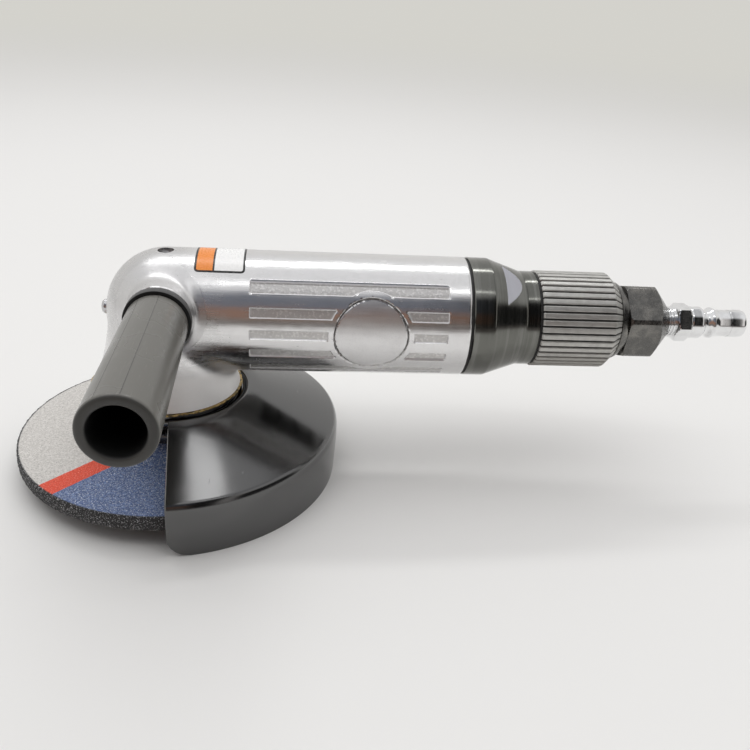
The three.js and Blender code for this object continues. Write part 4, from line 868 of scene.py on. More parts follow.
def labelGrid():
    # A rounded rectangle wrapped on the barrel: rows across it narrow towards the corners.
    arc = np.radians(labelLook["high"] - labelLook["low"]) * housing["radius"]
    halfLong, halfWide = (labelLook["to"] - labelLook["from"]) / 2, arc / 2
    corner, proud, root = labelLook["corner"], labelLook["proud"], -labelLook["root"]
    high = halfWide * np.sin(np.linspace(-math.pi / 2, math.pi / 2, 41))
    inset = np.maximum(np.abs(high) - halfWide + corner, 0)
    reach = halfLong - corner + np.sqrt(np.maximum(corner**2 - inset**2, 0))
    across = np.sin(np.linspace(-math.pi / 2, math.pi / 2, 61))
    upper = np.stack(np.broadcast_arrays(reach[:, None] * across, high[:, None], proud), -1)
    lower = np.stack(np.broadcast_arrays(reach[:, None] * across[::-1], high[:, None], root), -1)
    flat = np.concatenate([upper, lower], 1)
    centre = np.array([0, flat[0, 0, 1], 0.0]), np.array([0, flat[-1, 0, 1], 0.0])
    flat = np.concatenate([flat[:1] * 0 + centre[0], flat, flat[:1] * 0 + centre[1]])
    angle = np.radians((labelLook["low"] + labelLook["high"]) / 2) + flat[..., 1] / housing["radius"]
    radius = housing["radius"] + flat[..., 2]
    x = (labelLook["from"] + labelLook["to"]) / 2 + flat[..., 0]
    grid = np.stack([x, -radius * np.cos(angle), housing["axis"] + radius * np.sin(angle)], -1)
    du = np.abs(flat[..., 0]) - halfLong + corner
    dv = np.abs(flat[..., 1]) - halfWide + corner
    edge = corner - np.hypot(np.maximum(du, 0), np.maximum(dv, 0)) - np.minimum(np.maximum(du, dv), 0)
    marks = {"along": (flat[..., 0] / halfLong + 1) / 2, "edge": edge}
    return grid, marks


grid, marks = labelGrid()
makePiece("blankLabel", [(grid, False)], "cast_aluminium", "tool", marks=marks, finish=labelFoil())


# Top plug, lock and gasket

plug = {
    "radius": 2.95, "top": 84.6, "bottom": 78.1, "socket": 3.2, "depth": 3.0, "rim": (0.35, 0.4), "lip": 0.2,
    "point": 0.5,
}
lock = {
    "front": -25.7, "radius": 2.9, "crown": ((0, 0), (0.45, 0.08), (0.8, 0.5), (1, 1.4)),
    "flange": 3.4, "flangeFrom": -19.5, "flangeTo": -18.0, "stem": 1.8, "end": -8.0, "soft": 0.25,
    "collar": (3.2, 3.9, -23.2, -19.8),
}
spring = {
    "from": -17.45, "to": -9.15, "radius": 2.75, "wire": 0.42, "turns": 4, "steps": 28, "sides": 10,
    "pressed": 0.58,
}
gasket = {
    "inner": 19.0, "outer": 29.5, "low": 29.4, "high": 29.9, "proud": 0.75, "flat": 1.2, "lip": 0.12,
    "ragged": 0.38, "curl": 0.12, "curlAbove": 0.3, "lobes": 9, "waves": 34, "sides": 480, "turned": 37,
}


def plugGrid():
    # A round plug with a hexagonal socket, as rows of radius and height.
    angle = np.linspace(0, turn, 72, endpoint=False)
    socket = hexagon(plug["socket"], angle)
    (inset, drop), top, floor = plug["rim"], plug["top"], plug["top"] - plug["depth"]
    rows = [(0, plug["bottom"]), (plug["radius"], plug["bottom"]), (plug["radius"], top - drop)]
    rows += [(plug["radius"] - inset, top), (socket + plug["lip"], top), (socket, top - plug["lip"])]
    rows += [(socket, floor), (0, floor - plug["point"])]
    return stacked(rows, upSpindle, len(angle))


def lockGrid():
    # A domed button, the flange that stops it and the pin behind it.
    front, radius = lock["front"], lock["radius"]
    outline = [(radius * share, front + back) for share, back in lock["crown"]]
    outline += [(radius, lock["flangeFrom"]), (lock["flange"], lock["flangeFrom"])]
    outline += [(lock["flange"], lock["flangeTo"]), (lock["stem"], lock["flangeTo"])]
    outline += [(lock["stem"], lock["end"]), (0, lock["end"])]
    return turned(outline, alongBarrel, 72, lock["soft"])


def springGrid():
    # A round wire wound round the lock pin, closed by a point at each end.
    share = np.linspace(0, 1, spring["turns"] * spring["steps"] + 1)
    wire = np.full(share.shape, spring["wire"])
    wire[[0, -1]] = 0
    angle = (turn * spring["turns"] * share)[:, None]
    section = np.linspace(0, turn, spring["sides"], endpoint=False)
    radius = spring["radius"] + wire[:, None] * np.cos(section)
    line = (spring["from"] + (spring["to"] - spring["from"]) * share)[:, None]
    return alongBarrel(radius * np.cos(angle), radius * np.sin(angle), line + wire[:, None] * np.sin(section))


def gasketGrid():
    # Its outer edge is torn a little, and follows the foot, which is shifted to the front.
    g = gasket
    angle = np.linspace(0, turn, g["sides"], endpoint=False)
    torn = 0
    for n in range(1, g["waves"]):
        size, phase = chance.normal(0, 1 / n**0.5), chance.uniform(0, turn)
        torn = torn + size * np.cos(n * g["lobes"] * angle + phase)
    torn = g["ragged"] * torn / np.abs(torn).max()
    curl = g["curl"] * np.roll(torn, g["turned"]) / g["ragged"]
    outer = g["outer"] + g["proud"] + torn
    radii = [g["inner"], g["outer"] - g["flat"], outer, outer + g["lip"]]
    radii += radii[::-1][1:]
    low, high = g["low"], g["high"]
    heights = [low, low, low + curl, (low + high) / 2 + curl, high + curl * g["curlAbove"], high, high]
    shift = [0] + [-housing["footShift"]] * 5 + [0]
    rows = [
        np.stack([r * np.cos(angle) + s, r * np.sin(angle), h + 0 * angle], -1)
        for r, h, s in zip(radii, heights, shift)
    ]
    return np.stack(rows)


def ringGrid(size, place, sides=72, soft=0.25):
    # A plain ring, from its inner and outer radius and its two ends.
    inner, outer, start, end = size
    return turned([(inner, start), (outer, start), (outer, end), (inner, end)], place, sides, soft)


makePiece("greasePlug", [(plugGrid(), True)], "tool_steel", "tool", ["grease_plug"])
makePiece("lockPin", [(lockGrid(), True)], "ground_steel", "lock", ["lock_pin"])
collar = ringGrid(lock["collar"], alongBarrel)
makePiece("lockCollar", [(collar, True)], "ground_steel", "tool", ["lock_collar"])
coil = makePiece("lockSpring", [(springGrid(), False)], "ground_steel", "tool", ["lock_spring"])
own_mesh(coil)
makePiece("headGasket", [(gasketGrid(), True)], "gasket_gold", "tool", ["head_gasket"], sharp=60)
print("plug, lock and gasket")


# Bearing cap, guard ring, spindle and wheel

bearingCap = {
    "low": 20.0, "neck": 20.0, "flangeLow": 26.6, "flange": 27.0, "top": 29.4, "spigot": 18.9,
    "spigotTop": 33.0, "bore": 13.4, "seat": 17.6, "seatLow": 21.2,
}
innerFlange = {
    "bore": 7.1, "low": 7.9, "spigot": 11.0, "face": 11.1, "radius": 20.0, "top": 15.5, "slope": 1.0,
    "soft": 0.4,
}
wheel = {
    "radius": 62.5, "top": 6.5, "thickness": 6.0, "bore": 11.1, "rise": 4.6, "hub": 23.0, "slope": 9.0,
    "bend": 2.0, "lowEase": (1.0, 1.5, 0.5, 0.4), "topEase": (1.2, 0.4), "flat": 0.6, "round": 0.35,
    "ragged": 0.22, "sides": 720, "rimRows": 11,
}
nut = {
    "bore": 7.15, "radius": 18.0, "low": 0.7, "high": 5.1, "soft": 0.7, "holes": 4, "hole": 2.4,
    "circle": 13.5, "over": 1.0,
}
ringNut = {
    "inner": 20.1, "outer": 24.0, "low": 22.0, "high": 24.2, "notches": 4, "notch": 3.0, "deep": 1.1,
    "chamfer": 0.25, "sides": 240,
}


def capOutline():
    # Half a section of the cap: outside from the neck up to the spigot, then down its stepped bore.
    c = bearingCap
    return [
        (c["bore"], c["low"]), (c["neck"], c["low"]), (c["neck"], c["flangeLow"]),
        (c["flange"], c["flangeLow"]), (c["flange"], c["top"]), (c["spigot"], c["top"]),
        (c["spigot"], c["spigotTop"]), (c["seat"], c["spigotTop"]), (c["seat"], c["seatLow"]),
        (c["bore"], c["seatLow"]),
    ]


def flangeOutline():
    # Half a section of the flange: the spigot in the wheel's bore, the face over it and a chamfer.
    c = innerFlange
    return [
        (c["bore"], c["low"]), (c["spigot"], c["low"]), (c["spigot"], c["face"]), (c["radius"], c["face"]),
        (c["radius"], c["top"] - c["slope"]), (c["radius"] - c["slope"], c["top"]), (c["bore"], c["top"]),
    ]


def wheelGrid():
    # Lathe profile; the rim's rows are roughened, so that the outline is gritty.
    w = wheel
    low, hubTop = w["top"] - w["thickness"], w["top"] + w["rise"]
    hubLow = hubTop - w["thickness"]
    before, after, drop, lift = w["lowEase"]
    bend, foot = w["hub"] + w["bend"], w["hub"] + w["bend"] + w["slope"]
    under = [
        (w["bore"], hubLow), (bend - before, hubLow), (bend + after, hubLow - drop),
        (foot - before, low + lift), (foot + after, low), (w["radius"] - w["flat"], low),
    ]
    ease, drop = w["topEase"]
    foot = w["hub"] + w["slope"]
    upper = [
        (w["radius"] - w["flat"], w["top"]), (foot + ease, w["top"]), (foot - ease, w["top"] + drop),
        (w["hub"] + ease, hubTop - drop), (w["hub"] - ease, hubTop), (w["bore"], hubTop),
    ]
    sides = w["sides"]
    angle = np.linspace(0, turn, sides, endpoint=False)
    rim = np.linspace(0, 1, w["rimRows"])
    rough = chance.uniform(-1, 1, (len(rim), sides))
    rough = (rough + np.roll(rough, 1, 1)) / 2 * w["ragged"]
    rounded = w["round"] * (np.abs(2 * rim - 1)) ** 6
    radius = w["radius"] - rounded[:, None] + rough
    height = low + w["thickness"] * rim[:, None] + 0 * angle
    edge = upSpindle(radius * np.cos(angle), radius * np.sin(angle), height)
    return np.concatenate([stacked(under, upSpindle, sides), edge, stacked(upper, upSpindle, sides)])


def ringNutGrid():
    # A ring whose outer radius drops in each spanner notch.
    r, sides = ringNut, ringNut["sides"]
    angle = np.linspace(0, turn, sides, endpoint=False)
    pitch = turn / r["notches"]
    off = np.abs(np.mod(angle + pitch / 2, pitch) - pitch / 2) * r["outer"]
    outer = r["outer"] - r["deep"] * (off < r["notch"] / 2)
    low, high, chamfer = r["low"], r["high"], r["chamfer"]
    rows = [(r["inner"], low), (outer - chamfer, low), (outer, low + chamfer), (outer, high - chamfer)]
    return stacked(rows + [(outer - chamfer, high), (r["inner"], high)], upSpindle, sides)


def nutMesh():
    # A round nut with its edges softened, less a rod for each spanner hole.
    low, high, over = nut["low"], nut["high"], nut["over"]
    body = ringGrid((nut["bore"], nut["radius"], low, high), upSpindle, 144, nut["soft"])
    outline = [(0, low - over), (nut["hole"], low - over), (nut["hole"], high + over), (0, high + over)]
    rod = turned(outline, upSpindle, 40, 0)
    holes = []
    for index in range(nut["holes"]):
        bearing = index * turn / nut["holes"]
        holes.append((rod + [nut["circle"] * math.cos(bearing), nut["circle"] * math.sin(bearing), 0], True))
    return pierced(meshOf("lockNut", [(body, True)]), holes)


makePiece("bearingCap", [(turned(capOutline(), upSpindle), True)], "tool_steel", "tool", ["bearing_cap"])
makePiece("guardRingNut", [(ringNutGrid(), True)], "tool_steel", "tool", ["guard_lock_ring"])
flange = turned(flangeOutline(), upSpindle, 144, innerFlange["soft"])
makePiece("innerFlange", [(flange, True)], "black_steel", "wheel_and_spindle", ["inner_flange"])
disc = wheelGrid()
makePiece("grindingWheel", [(disc, True)], "abrasive", "wheel_and_spindle", ["grinding_wheel"], sharp=60)
addPiece("lockNut", nutMesh(), "black_steel", "wheel_and_spindle", ["lock_nut"])
print("spindle and wheel")


# Guard

guard = {
    "thickness": 1.8, "from": -85.5, "to": 94.5, "corner": 8.0, "low": -7.1,
    "collar": (20.3, 28.6, 24.5, 26.3), "collarSoft": 0.3, "inwardFrom": 30.0, "steps": 181,
    "edges": (0.12, 0.08),
    "outline": [
        (27.6, 26.3), (29.4, 26.3), (31.0, 28.7), (35.0, 28.2), (52.0, 21.7), (67.7, 15.6), (68.7, 13.0),
        (68.75, 8.0), (68.6, 4.0), (68.45, 1.0), (68.3, -1.5), (68.2, -3.5), (68.1, -5.2), (68.05, -6.3),
        (68.0, -7.1),
    ],
    "bends": [0, 0.8, 1.2, 6.0, 14.0, 1.5, 1.2, 0, 0, 0, 0, 0, 0, 0, 0],
}


def bent(line, radii, steps=6):
    # An open line with its corners softened.
    points = soften(line, np.array(radii, float), steps)
    apart = np.linalg.norm(np.diff(points, axis=0), axis=1) > 1e-4
    return points[np.concatenate([[True], apart])]


def refined(line, steps):
    # A smooth curve through the given points, by Catmull and Rom's formula.
    points = np.array(line, float)
    padded = np.concatenate([2 * points[:1] - points[1:2], points, 2 * points[-1:] - points[-2:-1]])
    a, b, c, d = padded[:-3], padded[1:-2], padded[2:-1], padded[3:]
    t = np.linspace(0, 1, steps, endpoint=False)[None, :, None]
    a, b, c, d = (part[:, None] for part in (a, b, c, d))
    curve = b + 0.5 * t * (c - a + t * (2 * a - 5 * b + 4 * c - d + t * (3 * b - 3 * c + d - a)))
    return np.concatenate([curve.reshape(-1, 2), points[-1:]])


def guardGrid():
    # The sheet's outline, carried round half a turn; its lower corners are cut round.
    outer = bent(guard["outline"], guard["bends"])
    run = np.gradient(outer, axis=0)
    run /= np.linalg.norm(run, axis=1)[:, None]
    inward = np.stack([run[:, 1], -run[:, 0]], -1)
    inner = outer + inward * guard["thickness"]
    inner[:, 0] = np.where(outer[:, 0] < guard["inwardFrom"], outer[:, 0], inner[:, 0])
    inner[-1, 1] = outer[-1, 1]
    middle = (inner + outer) / 2
    top, corner = guard["corner"] + guard["low"], guard["corner"]
    steps = np.clip(np.linspace(0, 1, guard["steps"]), 0.002, 0.998)

    def strip(line):
        drop = np.clip(top - line[:, 1], 0, corner)
        inset = (corner - np.sqrt(corner**2 - drop**2)) / line[:, 0]
        start = np.radians(guard["from"]) + inset
        end = np.radians(guard["to"]) - inset
        return start, end

    def carried(line, bounds, share, beyond):
        start, end = bounds
        angle = start + (end - start) * share + beyond / line[:, 0]
        return np.stack([line[:, 0] * np.cos(angle), line[:, 0] * np.sin(angle), line[:, 1]], -1)

    bounds = strip(outer)
    around = np.concatenate([outer, inner[::-1]])
    both = tuple(np.concatenate([edge, edge[::-1]]) for edge in bounds)
    core = np.concatenate([middle, middle[::-1]])
    shy = 0.5 * around + 0.5 * core
    far, near = guard["edges"]
    rows = [carried(core, both, 0, -far), carried(shy, both, 0, -near)]
    rows += [carried(around, both, share, 0) for share in steps]
    rows += [carried(shy, both, 1, near), carried(core, both, 1, far)]
    return np.stack(rows)


collar = ringGrid(guard["collar"], upSpindle, 180, guard["collarSoft"])
makePiece("guardShell", [(guardGrid(), False), (collar, True)], "guard_paint", "guard", ["guard"], sharp=40)
print("guard")


# Rear cap, throttle sleeve, inlet bushing and nipple

rearCap = {
    "start": 118.2, "shoulder": 126.4, "cone": 140.2, "end": 145.7, "nose": 19.2, "edge": 0.25,
    "flat": 19.8, "flatStart": 131.5, "flatAngle": 62.0, "flatReach": (1.2, 1.1), "ease": 0.3,
    "bore": 12.6, "seat": (16.5, 128.0), "skirt": (20.3, 101.2), "sides": 360,
}
sleeve = {
    "start": 146.7, "end": 180.0, "radius": 19.65, "grooves": 42, "depth": 0.8, "groove": (0.60, 0.86),
    "edge": (0.5, 0.45), "tip": 16.3, "chamfer": 3.6, "fade": 0.45, "bore": 12.8,
}
bushing = {
    "collar": (180.3, 184.0, 16.0, 14.4), "collarSteps": (0.3, 1.2, 0.2, 0.1), "neck": 12.5,
    "across": 28.7, "lean": 20.0, "round": (15.4, 16.05, 0.8), "coneStart": 196.6, "coneEnd": 204.0,
    "tip": 7.4, "soft": 0.15, "bores": ((6.5, 195.0), (4.5, 177.0), (8.8, 130.0)), "sides": 360,
}
nipple = {
    "root": 195.0, "thread": 6.4, "threadStart": 203.0, "threadDepth": 0.75, "pitch": 1.41, "step": 0.12,
    "hex": (208.3, 214.6), "across": 14.0, "corner": (6.9, 1.5, 0.25), "bore": 3.5, "sides": 240,
    "neck": ((6.45, 0.05), (6.65, 0.5)),
    "plug": (
        (6.7, 217.3), (6.65, 219.8), (5.7, 220.7), (5.3, 221.9), (5.35, 222.7), (6.3, 223.9), (6.5, 224.8),
        (6.15, 225.7), (5.75, 227.0), (5.62, 230.0), (5.6, 232.4), (5.75, 232.9), (5.8, 237.6), (5.45, 238.8),
        (5.0, 239.0), (3.9, 239.0), (3.5, 238.5),
    ),
}
rings = {
    "capRing": ("cap_ring", 20.5, 23.4, 117.2), "neckRing": ("neck_ring", 12.8, 18.6, 145.7),
    "width": 1.0, "soft": 0.2,
}


def capGrid():
    # The cone's radius, cut down to the spanner flats where they lie nearer to the axis.
    c, radius, sides = rearCap, housing["radius"], rearCap["sides"]
    start, shoulder, cone, end = (c[name] for name in ("start", "shoulder", "cone", "end"))
    edge, ease = c["edge"], c["ease"]
    # The angle runs from straight up towards +Y
    angle = np.linspace(0, turn, sides, endpoint=False)
    facing = -np.radians(90 - c["flatAngle"])
    off = np.abs(np.mod(angle - facing + turn / 4, turn / 2) - turn / 4)
    flat = c["flat"] / np.cos(np.minimum(off, c["flatReach"][0]))
    places = np.concatenate([
        [start, start + edge], np.linspace(start + 0.8, shoulder - ease, 6), [shoulder + 0.1],
        np.linspace(shoulder + 0.6, c["flatStart"], 12), [c["flatStart"] + 0.02],
        np.linspace(c["flatStart"] + ease, cone - ease, 40), [cone + ease],
        np.linspace(cone + 1, end - edge, 5), [end],
    ])
    corners = [start, start + edge, shoulder, cone, end - edge, end]
    radii = [radius - edge, radius, radius, c["nose"], c["nose"], c["nose"] - edge]
    outer = np.interp(places, corners, radii)[:, None]
    cutting = ((places > c["flatStart"]) & (places < cone))[:, None]
    rows = np.where(cutting, np.minimum(outer, flat), outer)
    onFlat = cutting & (flat < outer - 0.01) & (off < c["flatReach"][1])
    grid = alongBarrel(rows * np.cos(angle), rows * np.sin(angle), places[:, None])
    (seat, seatEnd), (skirt, skirtEnd) = c["seat"], c["skirt"]
    inside = [(c["bore"], end), (c["bore"], seatEnd), (seat, seatEnd), (seat, skirtEnd), (skirt, skirtEnd)]
    inside = stacked(inside + [(skirt, start)], alongBarrel, sides)
    marks = np.zeros((len(places) + len(inside), sides))
    marks[:len(places)] = onFlat
    return np.concatenate([grid, inside]), marks


def sleeveGrid():
    # Grooves are narrow and round-bottomed; the rear end is chamfered.
    s, sides = sleeve, sleeve["grooves"] * 18
    start, end, (edge, drop) = s["start"], s["end"], s["edge"]
    angle = np.linspace(0, turn, sides, endpoint=False)
    phase = np.abs(np.mod(angle * s["grooves"] / turn, 1) - 0.5) * 2
    groove = smooth(*s["groove"], phase)
    chamfer = end - s["chamfer"]
    places = np.concatenate([
        [start, start + 0.15, start + edge], np.linspace(start + 1.3, chamfer - 0.4, 24),
        np.linspace(chamfer, end, 9),
    ])
    radii = [s["radius"] - drop, s["radius"], s["radius"], s["tip"]]
    envelope = np.interp(places, [start, start + edge, chamfer, end], radii)
    fade = 1 - s["fade"] * smooth(chamfer, end, places)
    rows = envelope[:, None] - s["depth"] * groove * fade[:, None]
    grid = alongBarrel(rows * np.cos(angle), rows * np.sin(angle), places[:, None])
    bore = stacked([(s["bore"], end), (s["bore"], start)], alongBarrel, sides)
    marks = np.concatenate([groove + 0 * places[:, None], np.zeros((2, sides))])
    return np.concatenate([grid, bore]), marks


def bushingGrid():
    # A hexagon inside a round envelope, whose corners a cone takes off at the rear.
    b, sides = bushing, bushing["sides"]
    (start, end, big, small), cone = b["collar"], b["coneStart"]
    angle = np.linspace(0, turn, sides, endpoint=False)
    hexSide = hexagon(b["across"], angle, math.radians(b["lean"] - 90))
    places = np.concatenate([
        np.linspace(end + 0.02, end + 1.0, 5), np.linspace(end + 1.4, cone - 1.0, 16),
        np.linspace(cone - 0.6, b["coneEnd"], 34),
    ])
    first, full, run = b["round"]
    corners = [end, end + run, cone, b["coneEnd"]]
    envelope = np.interp(places, corners, [first, full, full, b["tip"]])
    rows = smoothLeast(hexSide + 0 * places[:, None], envelope[:, None] + 0 * angle, b["soft"])
    outer = alongBarrel(rows * np.cos(angle), rows * np.sin(angle), places[:, None])
    edge, back, step, tiny = b["collarSteps"]
    front = stacked([
        (b["neck"], start), (big - edge, start), (big, start + edge), (big - step, start + back),
        (small, end - step), (small - tiny, end),
    ], alongBarrel, sides)
    inside, place = [], b["coneEnd"]
    for bore, floor in b["bores"]:
        inside += [(bore, place), (bore, floor)]
        place = floor
    inside = stacked(inside + [(b["neck"], place)], alongBarrel, sides)
    return np.concatenate([front, outer, inside])


def nippleGrid():
    # A thread, a hexagon with chamfered corners and the plug with its catch groove, on one bore.
    n, sides = nipple, nipple["sides"]
    first, last = n["hex"]
    start = n["threadStart"]
    angle = np.linspace(0, turn, sides, endpoint=False)
    threads = np.arange(start, first - 0.15, n["step"])
    fade = smooth(start, start + 1, threads) * (1 - smooth(first - 0.9, first - 0.3, threads))
    wave = 0.5 - 0.5 * np.cos(turn * (threads[:, None] / n["pitch"] - angle / turn))
    thread = n["thread"] - n["threadDepth"] * fade[:, None] * wave**1.5
    rows = [(n["bore"], n["root"]), (n["thread"], n["root"])]
    rows += list(zip(thread, threads))
    hexSide = hexagon(n["across"], angle, math.pi / 2)
    corner, rise, soft = n["corner"]
    for place in np.linspace(first, last, 22):
        gap = min(place - first, last - place)
        rows.append((smoothLeast(hexSide, corner + rise * gap + 0 * angle, soft), place))
    neck = [(radius, last + beyond) for radius, beyond in n["neck"]]
    rows += [(radius, place) for radius, place in refined(neck + list(n["plug"]), 4)]
    return stacked(rows, alongBarrel, sides)


grid, marks = capGrid()
makePiece("rearCap", [(grid, True)], "gunmetal", "tool", ["rear_cap"], {"flat": marks}, sharp=28)
for name in ("capRing", "neckRing"):
    node, inner, outer, start = rings[name]
    ring = ringGrid((inner, outer, start, start + rings["width"]), alongBarrel, 180, rings["soft"])
    makePiece(name, [(ring, True)], "seal_rubber", "tool", [node])
grid, marks = sleeveGrid()
marks = {"groove": marks}
makePiece("throttleSleeve", [(grid, True)], "grip_metal", "throttle", ["throttle_sleeve"], marks, sharp=40)
makePiece("inletBushing", [(bushingGrid(), True)], "black_steel", "tool", ["inlet_bushing"], sharp=30)
makePiece("hoseNipple", [(nippleGrid(), True)], "plating", "tool", ["hose_nipple"], sharp=36)
print("rear cap, throttle and inlet")


# Side handle

# rimDark and faceDark place painted shade on the grip's end ring and on the washer's face.
handle = {
    "height": 68.3, "washer": (5.1, 12.3, 25.8, 29.8), "start": 29.8, "end": 106.0, "base": 11.2, "tip": 12.0,
    "bore": 8.4, "floor": 50.0, "dish": 0.8, "stud": 5.1, "root": 48.3, "edge": ((0.9, 0), (0.3, 0.25)),
    "outerRim": ((0.12, 0.9), (0.4, 0.45), (0.8, 0.15), (1.3, 0.0)),
    "innerRim": ((1.0, 0.0), (0.5, 0.15), (0.15, 0.6), (0.0, 1.4)),
    "seams": (8.0, -29.0), "seamHeight": 0.12, "seamWidth": 0.016, "rimDark": 0.72, "faceDark": (0.3, 0.1),
    "sides": 360,
}


def gripGrid():
    # A slightly widening tube with two thin mould seams along its top.
    g, sides = handle, handle["sides"]
    angle = np.linspace(0, turn, sides, endpoint=False)
    seam = 0 * angle
    for place in g["seams"]:
        off = np.mod(angle - math.radians(place) + math.pi, turn) - math.pi
        seam = seam + np.exp(-((off / g["seamWidth"]) ** 2))
    start, end, base, tip = (g[name] for name in ("start", "end", "base", "tip"))
    bore, floor = g["bore"], g["floor"]
    places = np.concatenate([[start + 0.9], np.linspace(start + 1.4, end - 2.5, 30), [end - 2.0, end - 1.4]])
    outer = base + (tip - base) * (places - start) / (end - start)
    rows = [(g["stud"], g["root"]), (g["stud"], start)]
    rows += [(base - inset, start + rise) for inset, rise in g["edge"]]
    first = len(rows)
    rows += [(radius + g["seamHeight"] * seam, place) for radius, place in zip(outer, places)]
    rows += [(tip - inset, end - back) for inset, back in g["outerRim"]]
    last = len(rows)
    rows += [(bore + inset, end - back) for inset, back in g["innerRim"]]
    rows += [(bore, floor + g["dish"]), (bore - g["dish"], floor), (0, floor), (0, g["root"])]
    # The seams, the end ring and the bore are marked for painted shade.
    marks = {"seam": np.zeros((len(rows), sides)), "hollow": np.zeros((len(rows), sides))}
    marks["seam"][first:first + len(places)] = seam
    marks["hollow"][first + len(places) + 1:last + 2] = g["rimDark"]
    marks["hollow"][last + 2:] = 1
    return stacked(rows, alongHandle, sides), marks


grid, marks = gripGrid()
makePiece("handleGrip", [(grid, True)], "handle_plastic", "tool", ["handle_grip"], marks, sharp=40)
washer = ringGrid(handle["washer"], alongHandle, 144)
# Painted shade on the washer's face towards the grip.
far, near = (rise - handle["washer"][3] for rise in handle["faceDark"])
marks = {"hollow": smooth(far, near, washer[..., 1])}
makePiece("handleWasher", [(washer, True)], "handle_plastic", "tool", ["handle_washer"], marks,
          finish=handlePlastic("washerPlastic"))
print("side handle")


# Every CAD node that stays in sight takes the finish of its slot
slots = {row["node"]: row["material_slot"] for row in frame["record"]["subparts"]}
kept = 0
for name, node in frame["nodes"].items():
    if not node.hide_render:
        node.data.materials.clear()
        node.data.materials.append(finishes[slots[name]])
        kept += 1
print("nodes kept", kept)


# Floor, light and camera

# Places and sizes are metres here, but for the camera's place
studio = {
    "floor": (0.815, 0.81, 0.795), "background": (0.655, 0.645, 0.605), "fade": (0.55, 2.3),
    "far": (0.97, 0.965, 0.95), "farFrom": (0.9, 2.6), "cloudShade": 0.985, "reach": 12.0, "gap": 5e-5,
    "edge": (-0.75, -0.36), "edgeSlant": (0.15, 0.23, 0.08), "edgeTone": (0.20, 0.18, 0.17),
    "aim": (0.08, 0.0, 0.05),
    "guardLamp": {"watts": 0.046, "size": (0.10, 0.055), "place": (0.046, -0.004, 0.26), "mirrored": True},
    "lamps": {
        "ceiling": {"watts": 8.0, "size": (2.0, 1.4), "place": (0.0, -0.1, 1.4), "mirrored": False},
        "frontStrip": {"watts": 0.95, "size": (1.5, 0.09), "place": (0.02, -0.44, 1.43), "mirrored": True},
        "backStrip": {"watts": 3.8, "size": (1.6, 0.11), "place": (0.05, 0.75, 1.30), "mirrored": True},
    },
}
lens = {
    "place": (46.687, -306.342, 190.414), "right": (0.99397964, -0.08712125, 0.06644063),
    "ahead": (0.10783034, 0.88533278, -0.45228142), "focal": 39.332, "sensor": 36.0, "clip": (0.01, 60.0),
}


def addFloor():
    # Reflections and bounced light see the table end in front, where the camera sees it go on and
    # fade into the background far away.
    f = newFinish("paleFloor")
    x, y = f.axes()[:2]
    cloud = f.noise(f.spot(), 4.0, 2.0)
    shade = tuple(studio["cloudShade"] * part for part in studio["floor"])
    seen = f.add("ShaderNodeLightPath", {}, out="Is Camera Ray")
    low, high = (place / mm for place in studio["edge"])
    left, right, slant = (place / mm for place in studio["edgeSlant"])
    beyond = f.step(y - f.step(x, left, right, 0.0, slant), low, high, 1.0, 0.0) * (1 - seen)
    distant = f.step(y, *(place / mm for place in studio["farFrom"]))
    plain = f.mix(distant, f.mix(cloud, studio["floor"], shade), studio["far"])
    tone = f.mix(beyond, plain, studio["edgeTone"])
    sockets = {"Base Color": tone, "Roughness": 0.8, "Specular IOR Level": 0.2}
    table = f.add("ShaderNodeBsdfPrincipled", {}, sockets)
    haze = f.add("ShaderNodeEmission", {}, [studio["background"], 1.0])
    near, far = (place / mm for place in studio["fade"])
    gone = f.step(f.maths("SQRT", x * x + y * y), near, far) * seen
    surface = f.add("ShaderNodeMixShader", {}, [gone, table, haze])
    f.add("ShaderNodeOutputMaterial", {}, {"Surface": surface})
    mesh = bpy.data.meshes.new("floor")
    reach, height = studio["reach"], guard["low"] * mm - studio["gap"]
    sides = [(-1, -1), (1, -1), (1, 1), (-1, 1)]
    mesh.from_pydata([(reach * a, reach * b, height) for a, b in sides], [], [(0, 1, 2, 3)])
    mesh.materials.append(f.owner)
    floor = bpy.data.objects.new("floor", mesh)
    bpy.context.scene.collection.objects.link(floor)


room = {
    "floorLine": (0.19, 0.17, 0.155), "wall": (0.265, 0.16, 0.12), "upper": (0.155, 0.165, 0.195),
    "shade": (0.014, 0.014, 0.014), "right": (0.72, 0.69, 0.67), "back": (0.76, 0.75, 0.735),
    "ceiling": (0.80, 0.80, 0.81), "ceilingGap": (0.13, 0.13, 0.135), "lampHood": (0.46, 0.46, 0.47),
    "side": (0.03, 0.03, 0.03),
}


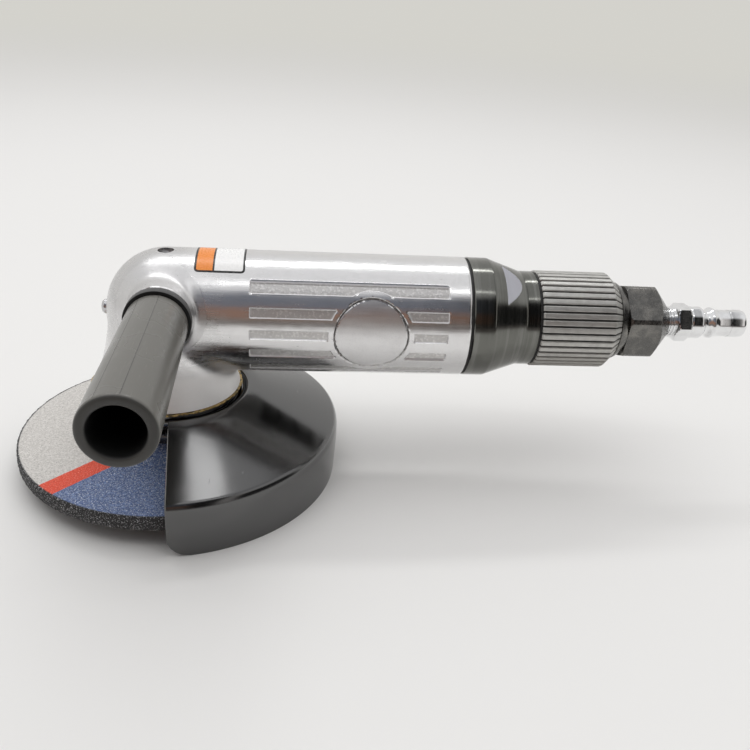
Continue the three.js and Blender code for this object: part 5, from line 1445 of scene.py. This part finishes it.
def addWorld():
    # Pale for the camera. What lights and mirrors is a room, laid out by direction: pale behind, a bright
    # ceiling, and in front, from the table's edge upwards, a dim wall, brown and then blue-grey, that is
    # darker on the right.
    world = bpy.data.worlds.new("studio")
    bpy.context.scene.world = world
    f = Finish(world)
    way = f.add("ShaderNodeTexCoord", {}, out="Generated")
    split = f.add("ShaderNodeSeparateXYZ", {}, [way])
    x, y, z = (Wire(f, socket) for socket in split.socket.node.outputs)
    front = f.mix(f.step(z, 0.08, 0.18), room["floorLine"], room["wall"])
    front = f.mix(f.step(z, 0.38, 0.52), front, room["upper"])
    front = f.mix(f.step(x, 0.214, 0.236), front, room["shade"])
    front = f.mix(f.step(x, 0.46, 0.58), front, room["right"])
    gap = f.step(x, 0.27, 0.33) * f.step(x, 0.42, 0.50, 1.0, 0.0)
    ceiling = f.mix(gap, room["ceiling"], room["ceilingGap"])
    front = f.mix(f.step(z - f.step(x, 0.24, 0.30, 0.0, 0.07), 0.76, 0.90), front, ceiling)
    back = f.mix(f.step(z, 0.3, 0.9), room["back"], room["ceiling"])
    lampHood = f.step(x, 0.34, 0.39) * f.step(x, 0.44, 0.52, 1.0, 0.0) * f.step(z, 0.6, 0.7)
    back = f.mix(lampHood, back, room["lampHood"])
    around = f.mix(f.step(y, -0.55, -0.25), front, back)
    side = f.step(x, 0.62, 0.72) * f.step(z, 0.46, 0.60, 1.0, 0.0) * f.step(y, -0.1, 0.1, 1.0, 0.0)
    around = f.mix(side, around, room["side"])
    path = f.add("ShaderNodeLightPath", {}, out="Is Camera Ray")
    lit = f.add("ShaderNodeBackground", {}, [around, 1.0])
    plain = f.add("ShaderNodeBackground", {}, [studio["background"], 1.0])
    light = f.add("ShaderNodeMixShader", {}, [path, lit, plain])
    f.add("ShaderNodeOutputWorld", {}, {"Surface": light})


def addLamp(name, settings):
    # A softbox that faces the middle of the tool.
    data = bpy.data.lights.new(name, "AREA")
    data.shape = "RECTANGLE"
    data.size, data.size_y = settings["size"]
    data.energy = settings["watts"]
    lamp = bpy.data.objects.new(name, data)
    aim = Vector(settings["place"]) - Vector(studio["aim"])
    lamp.rotation_euler = aim.to_track_quat("Z", "Y").to_euler()
    lamp.location = settings["place"]
    lamp.visible_glossy = settings["mirrored"]
    bpy.context.scene.collection.objects.link(lamp)


def addGuardLamp():
    # A small softbox over the wheel, for the guard's lacquer alone.
    addLamp("guardLamp", studio["guardLamp"])
    lacquer = bpy.data.collections.new("lacquer")
    lacquer.objects.link(bpy.data.objects["guardShell"])
    bpy.data.objects["guardLamp"].light_linking.receiver_collection = lacquer


def addCamera():
    # The photograph's viewing angle: a place and the directions to the right and ahead.
    right, ahead = np.array(lens["right"]), np.array(lens["ahead"])
    axes = np.stack([right, np.cross(right, ahead), -ahead], 1)
    place = np.array(lens["place"]) * mm
    data = bpy.data.cameras.new("camera")
    data.lens = lens["focal"]
    data.sensor_width = lens["sensor"]
    data.clip_start, data.clip_end = lens["clip"]
    camera = bpy.data.objects.new("camera", data)
    camera.matrix_world = Matrix([[*row, shift] for row, shift in zip(axes, place)] + [[0, 0, 0, 1]])
    bpy.context.scene.collection.objects.link(camera)
    bpy.context.scene.camera = camera


addFloor()
addWorld()
for name, settings in studio["lamps"].items():
    addLamp(name, settings)
addGuardLamp()
addCamera()
bpy.context.scene.view_settings.view_transform = "Standard"

print("scene done")
